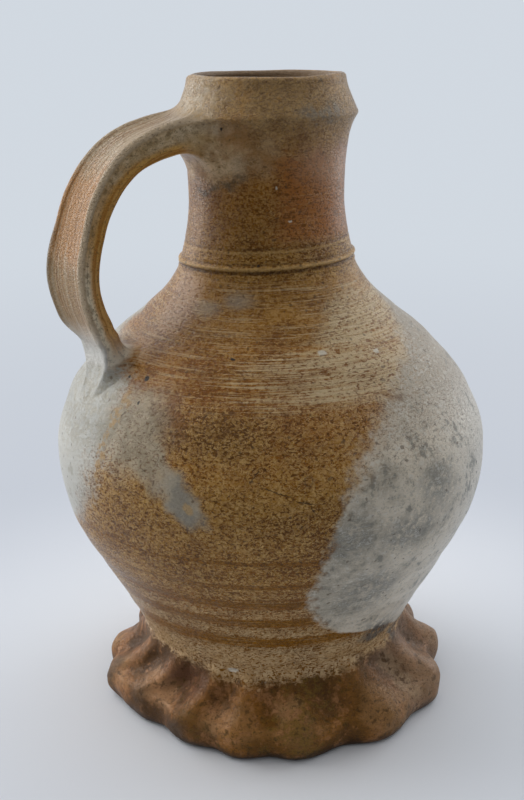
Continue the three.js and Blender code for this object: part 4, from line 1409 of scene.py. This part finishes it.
class JUG_OT_stage(Operator):
    """Sets the camera, the soft boxes, the floor and the backdrop"""

    bl_idname = "jug.stage"
    bl_label = "Stage"

    def execute(self, context):
        scene = context.scene
        stage = scene.jug_stage
        self.camera(scene, stage)
        self.floor(scene, stage)
        self.world(scene, stage)
        self.light("left_box", *LEFT_BOX, stage, stage.left_light)
        self.light("right_box", *RIGHT_BOX, stage, stage.right_light)
        scene.view_settings.view_transform = "Standard"
        scene.view_settings.look = "None"
        scene.cycles.use_denoising = True
        return {"FINISHED"}

    @staticmethod
    def camera(scene, stage):
        data = bpy.data.cameras.new("photo_view")
        data.lens = stage.lens
        data.clip_start = 0.01
        camera = bpy.data.objects.new("photo_view", data)
        scene.collection.objects.link(camera)
        right, back = level_axes(stage.azimuth)
        up = Vector((0, 0, 1))
        ahead = back * math.cos(stage.yaw) + right * math.sin(stage.yaw)
        look = ahead * math.cos(stage.pitch) - up * math.sin(stage.pitch)
        level = look.cross(up).normalized()
        head = level.cross(look)
        side = level * math.cos(stage.roll) + head * math.sin(stage.roll)
        head = head * math.cos(stage.roll) - level * math.sin(stage.roll)
        frame_axes = Matrix((side, head, -look)).transposed().to_4x4()
        place = -back * stage.distance + up * stage.camera_height
        camera.matrix_world = Matrix.Translation(place) @ frame_axes
        scene.camera = camera

    @staticmethod
    def light(name, place, size, stage, radiance):
        """A soft box turned towards the belly, at a place the camera sees as right, back and up."""
        right, back = level_axes(stage.azimuth)
        spot = right * place[0] + back * place[1]
        spot.z = place[2]
        data = bpy.data.lights.new(name, "AREA")
        data.shape = "RECTANGLE"
        data.size, data.size_y = size
        data.energy = radiance * math.pi * size[0] * size[1]
        data.color = TINTS["soft_box"]
        lamp = bpy.data.objects.new(name, data)
        bpy.context.scene.collection.objects.link(lamp)
        aim = BELLY_MIDDLE - spot
        lamp.rotation_euler = aim.to_track_quat("-Z", "Y").to_euler()
        lamp.location = spot

    @staticmethod
    def floor(scene, stage):
        look = Finish("floor")
        right, back = level_axes(stage.azimuth)
        far = look.vector("LENGTH", look.place, output="Value")
        across = look.x * right.x + look.y * right.y
        # The floor's own colour runs darker on the left and lighter on the right: painted shade and painted
        # light that offset the stronger left soft box.
        ground = look.mix(across.ramp(-0.15, 0.15), "floor_left", "floor_right")
        matt = look.node("ShaderNodeBsdfDiffuse", sockets={"Color": ground})
        # Away from the jug the floor glows instead of taking light: painted light that dims towards the jug
        # and matches the backdrop far off.
        tint = look.mix(far.ramp(0.15, 1.0), "floor_near", tuple(stage.backdrop))
        # The room on the viewer's side is dark, which the glaze reflects but the camera never sees.
        towards_viewer = look.x * -back.x - look.y * back.y
        path = look.node("ShaderNodeLightPath", output="Is Camera Ray")
        dark = towards_viewer.ramp(0.12, 0.45) * (1 - path)
        glow = look.node("ShaderNodeEmission", sockets={"Color": tint, "Strength": 1 - dark * 0.85})
        blend = look.node("ShaderNodeMixShader", sockets={0: far.ramp(0.05, 0.25), 1: matt, 2: glow})
        look.node("ShaderNodeOutputMaterial", sockets={"Surface": blend}, whole=True)
        mesh = bpy.data.meshes.new("floor")
        ends = ((-1, -1), (1, -1), (1, 1), (-1, 1))
        corners = [(x * FLOOR_HALF, y * FLOOR_HALF, FLOOR_LEVEL) for x, y in ends]
        mesh.from_pydata(corners, [], [(0, 1, 2, 3)])
        mesh.materials.append(look.material)
        floor = bpy.data.objects.new("floor", mesh)
        scene.collection.objects.link(floor)

    @staticmethod
    def world(scene, stage):
        world = bpy.data.worlds.new("light_tent")
        scene.world = world
        world.use_nodes = True
        tree = world.node_tree
        tree.nodes.clear()
        graph = Finish.__new__(Finish)
        graph.tree = tree
        towards = graph.node("ShaderNodeTexCoord", output="Generated")
        back = level_axes(stage.azimuth)[1]
        depth = graph.vector("DOT_PRODUCT", towards, back, output="Value")
        level = graph.vector("DOT_PRODUCT", towards, (0, 0, 1), output="Value")
        room = graph.mix(level.ramp(0.35, 0.95), "room", "ceiling")
        tent = graph.mix(depth.ramp(-0.1, 0.45), room, "tent")
        lit = graph.node("ShaderNodeBackground", sockets={"Color": tent, "Strength": 1.0})
        seen = graph.node("ShaderNodeBackground", sockets={"Color": tuple(stage.backdrop), "Strength": 1.0})
        path = graph.node("ShaderNodeLightPath", output="Is Camera Ray")
        both = graph.node("ShaderNodeMixShader", sockets={0: path, 1: lit, 2: seen})
        graph.node("ShaderNodeOutputWorld", sockets={"Surface": both}, whole=True)


class JUG_PT_panel(Panel):
    """Lists the pot's pieces and what can be set"""

    bl_idname = "JUG_PT_panel"
    bl_label = "Stoneware Jug"
    bl_space_type = "VIEW_3D"
    bl_region_type = "UI"
    bl_category = "Jug"

    def draw(self, context):
        for operator in OPERATORS:
            self.layout.operator(operator.bl_idname)
        for group in (context.scene.jug_sizes, context.scene.jug_colours, context.scene.jug_stage):
            column = self.layout.column(align=True)
            for name in group.__annotations__:
                column.prop(group, name)


OPERATORS = (JUG_OT_stage, JUG_OT_vessel, JUG_OT_foot, JUG_OT_handle)
GROUPS = {"jug_sizes": JugSizes, "jug_colours": JugColours, "jug_stage": JugStage}


def register():
    for cls in (*GROUPS.values(), *OPERATORS, JUG_PT_panel):
        bpy.utils.register_class(cls)
    for name, group in GROUPS.items():
        setattr(bpy.types.Scene, name, PointerProperty(type=group))


def unregister():
    for name in GROUPS:
        delattr(bpy.types.Scene, name)
    for cls in reversed((*GROUPS.values(), *OPERATORS, JUG_PT_panel)):
        bpy.utils.unregister_class(cls)


def main():
    register()
    bpy.ops.jug.stage()
    bpy.ops.jug.vessel()
    bpy.ops.jug.foot()
    bpy.ops.jug.handle()


if __name__ == "__main__":
    main()
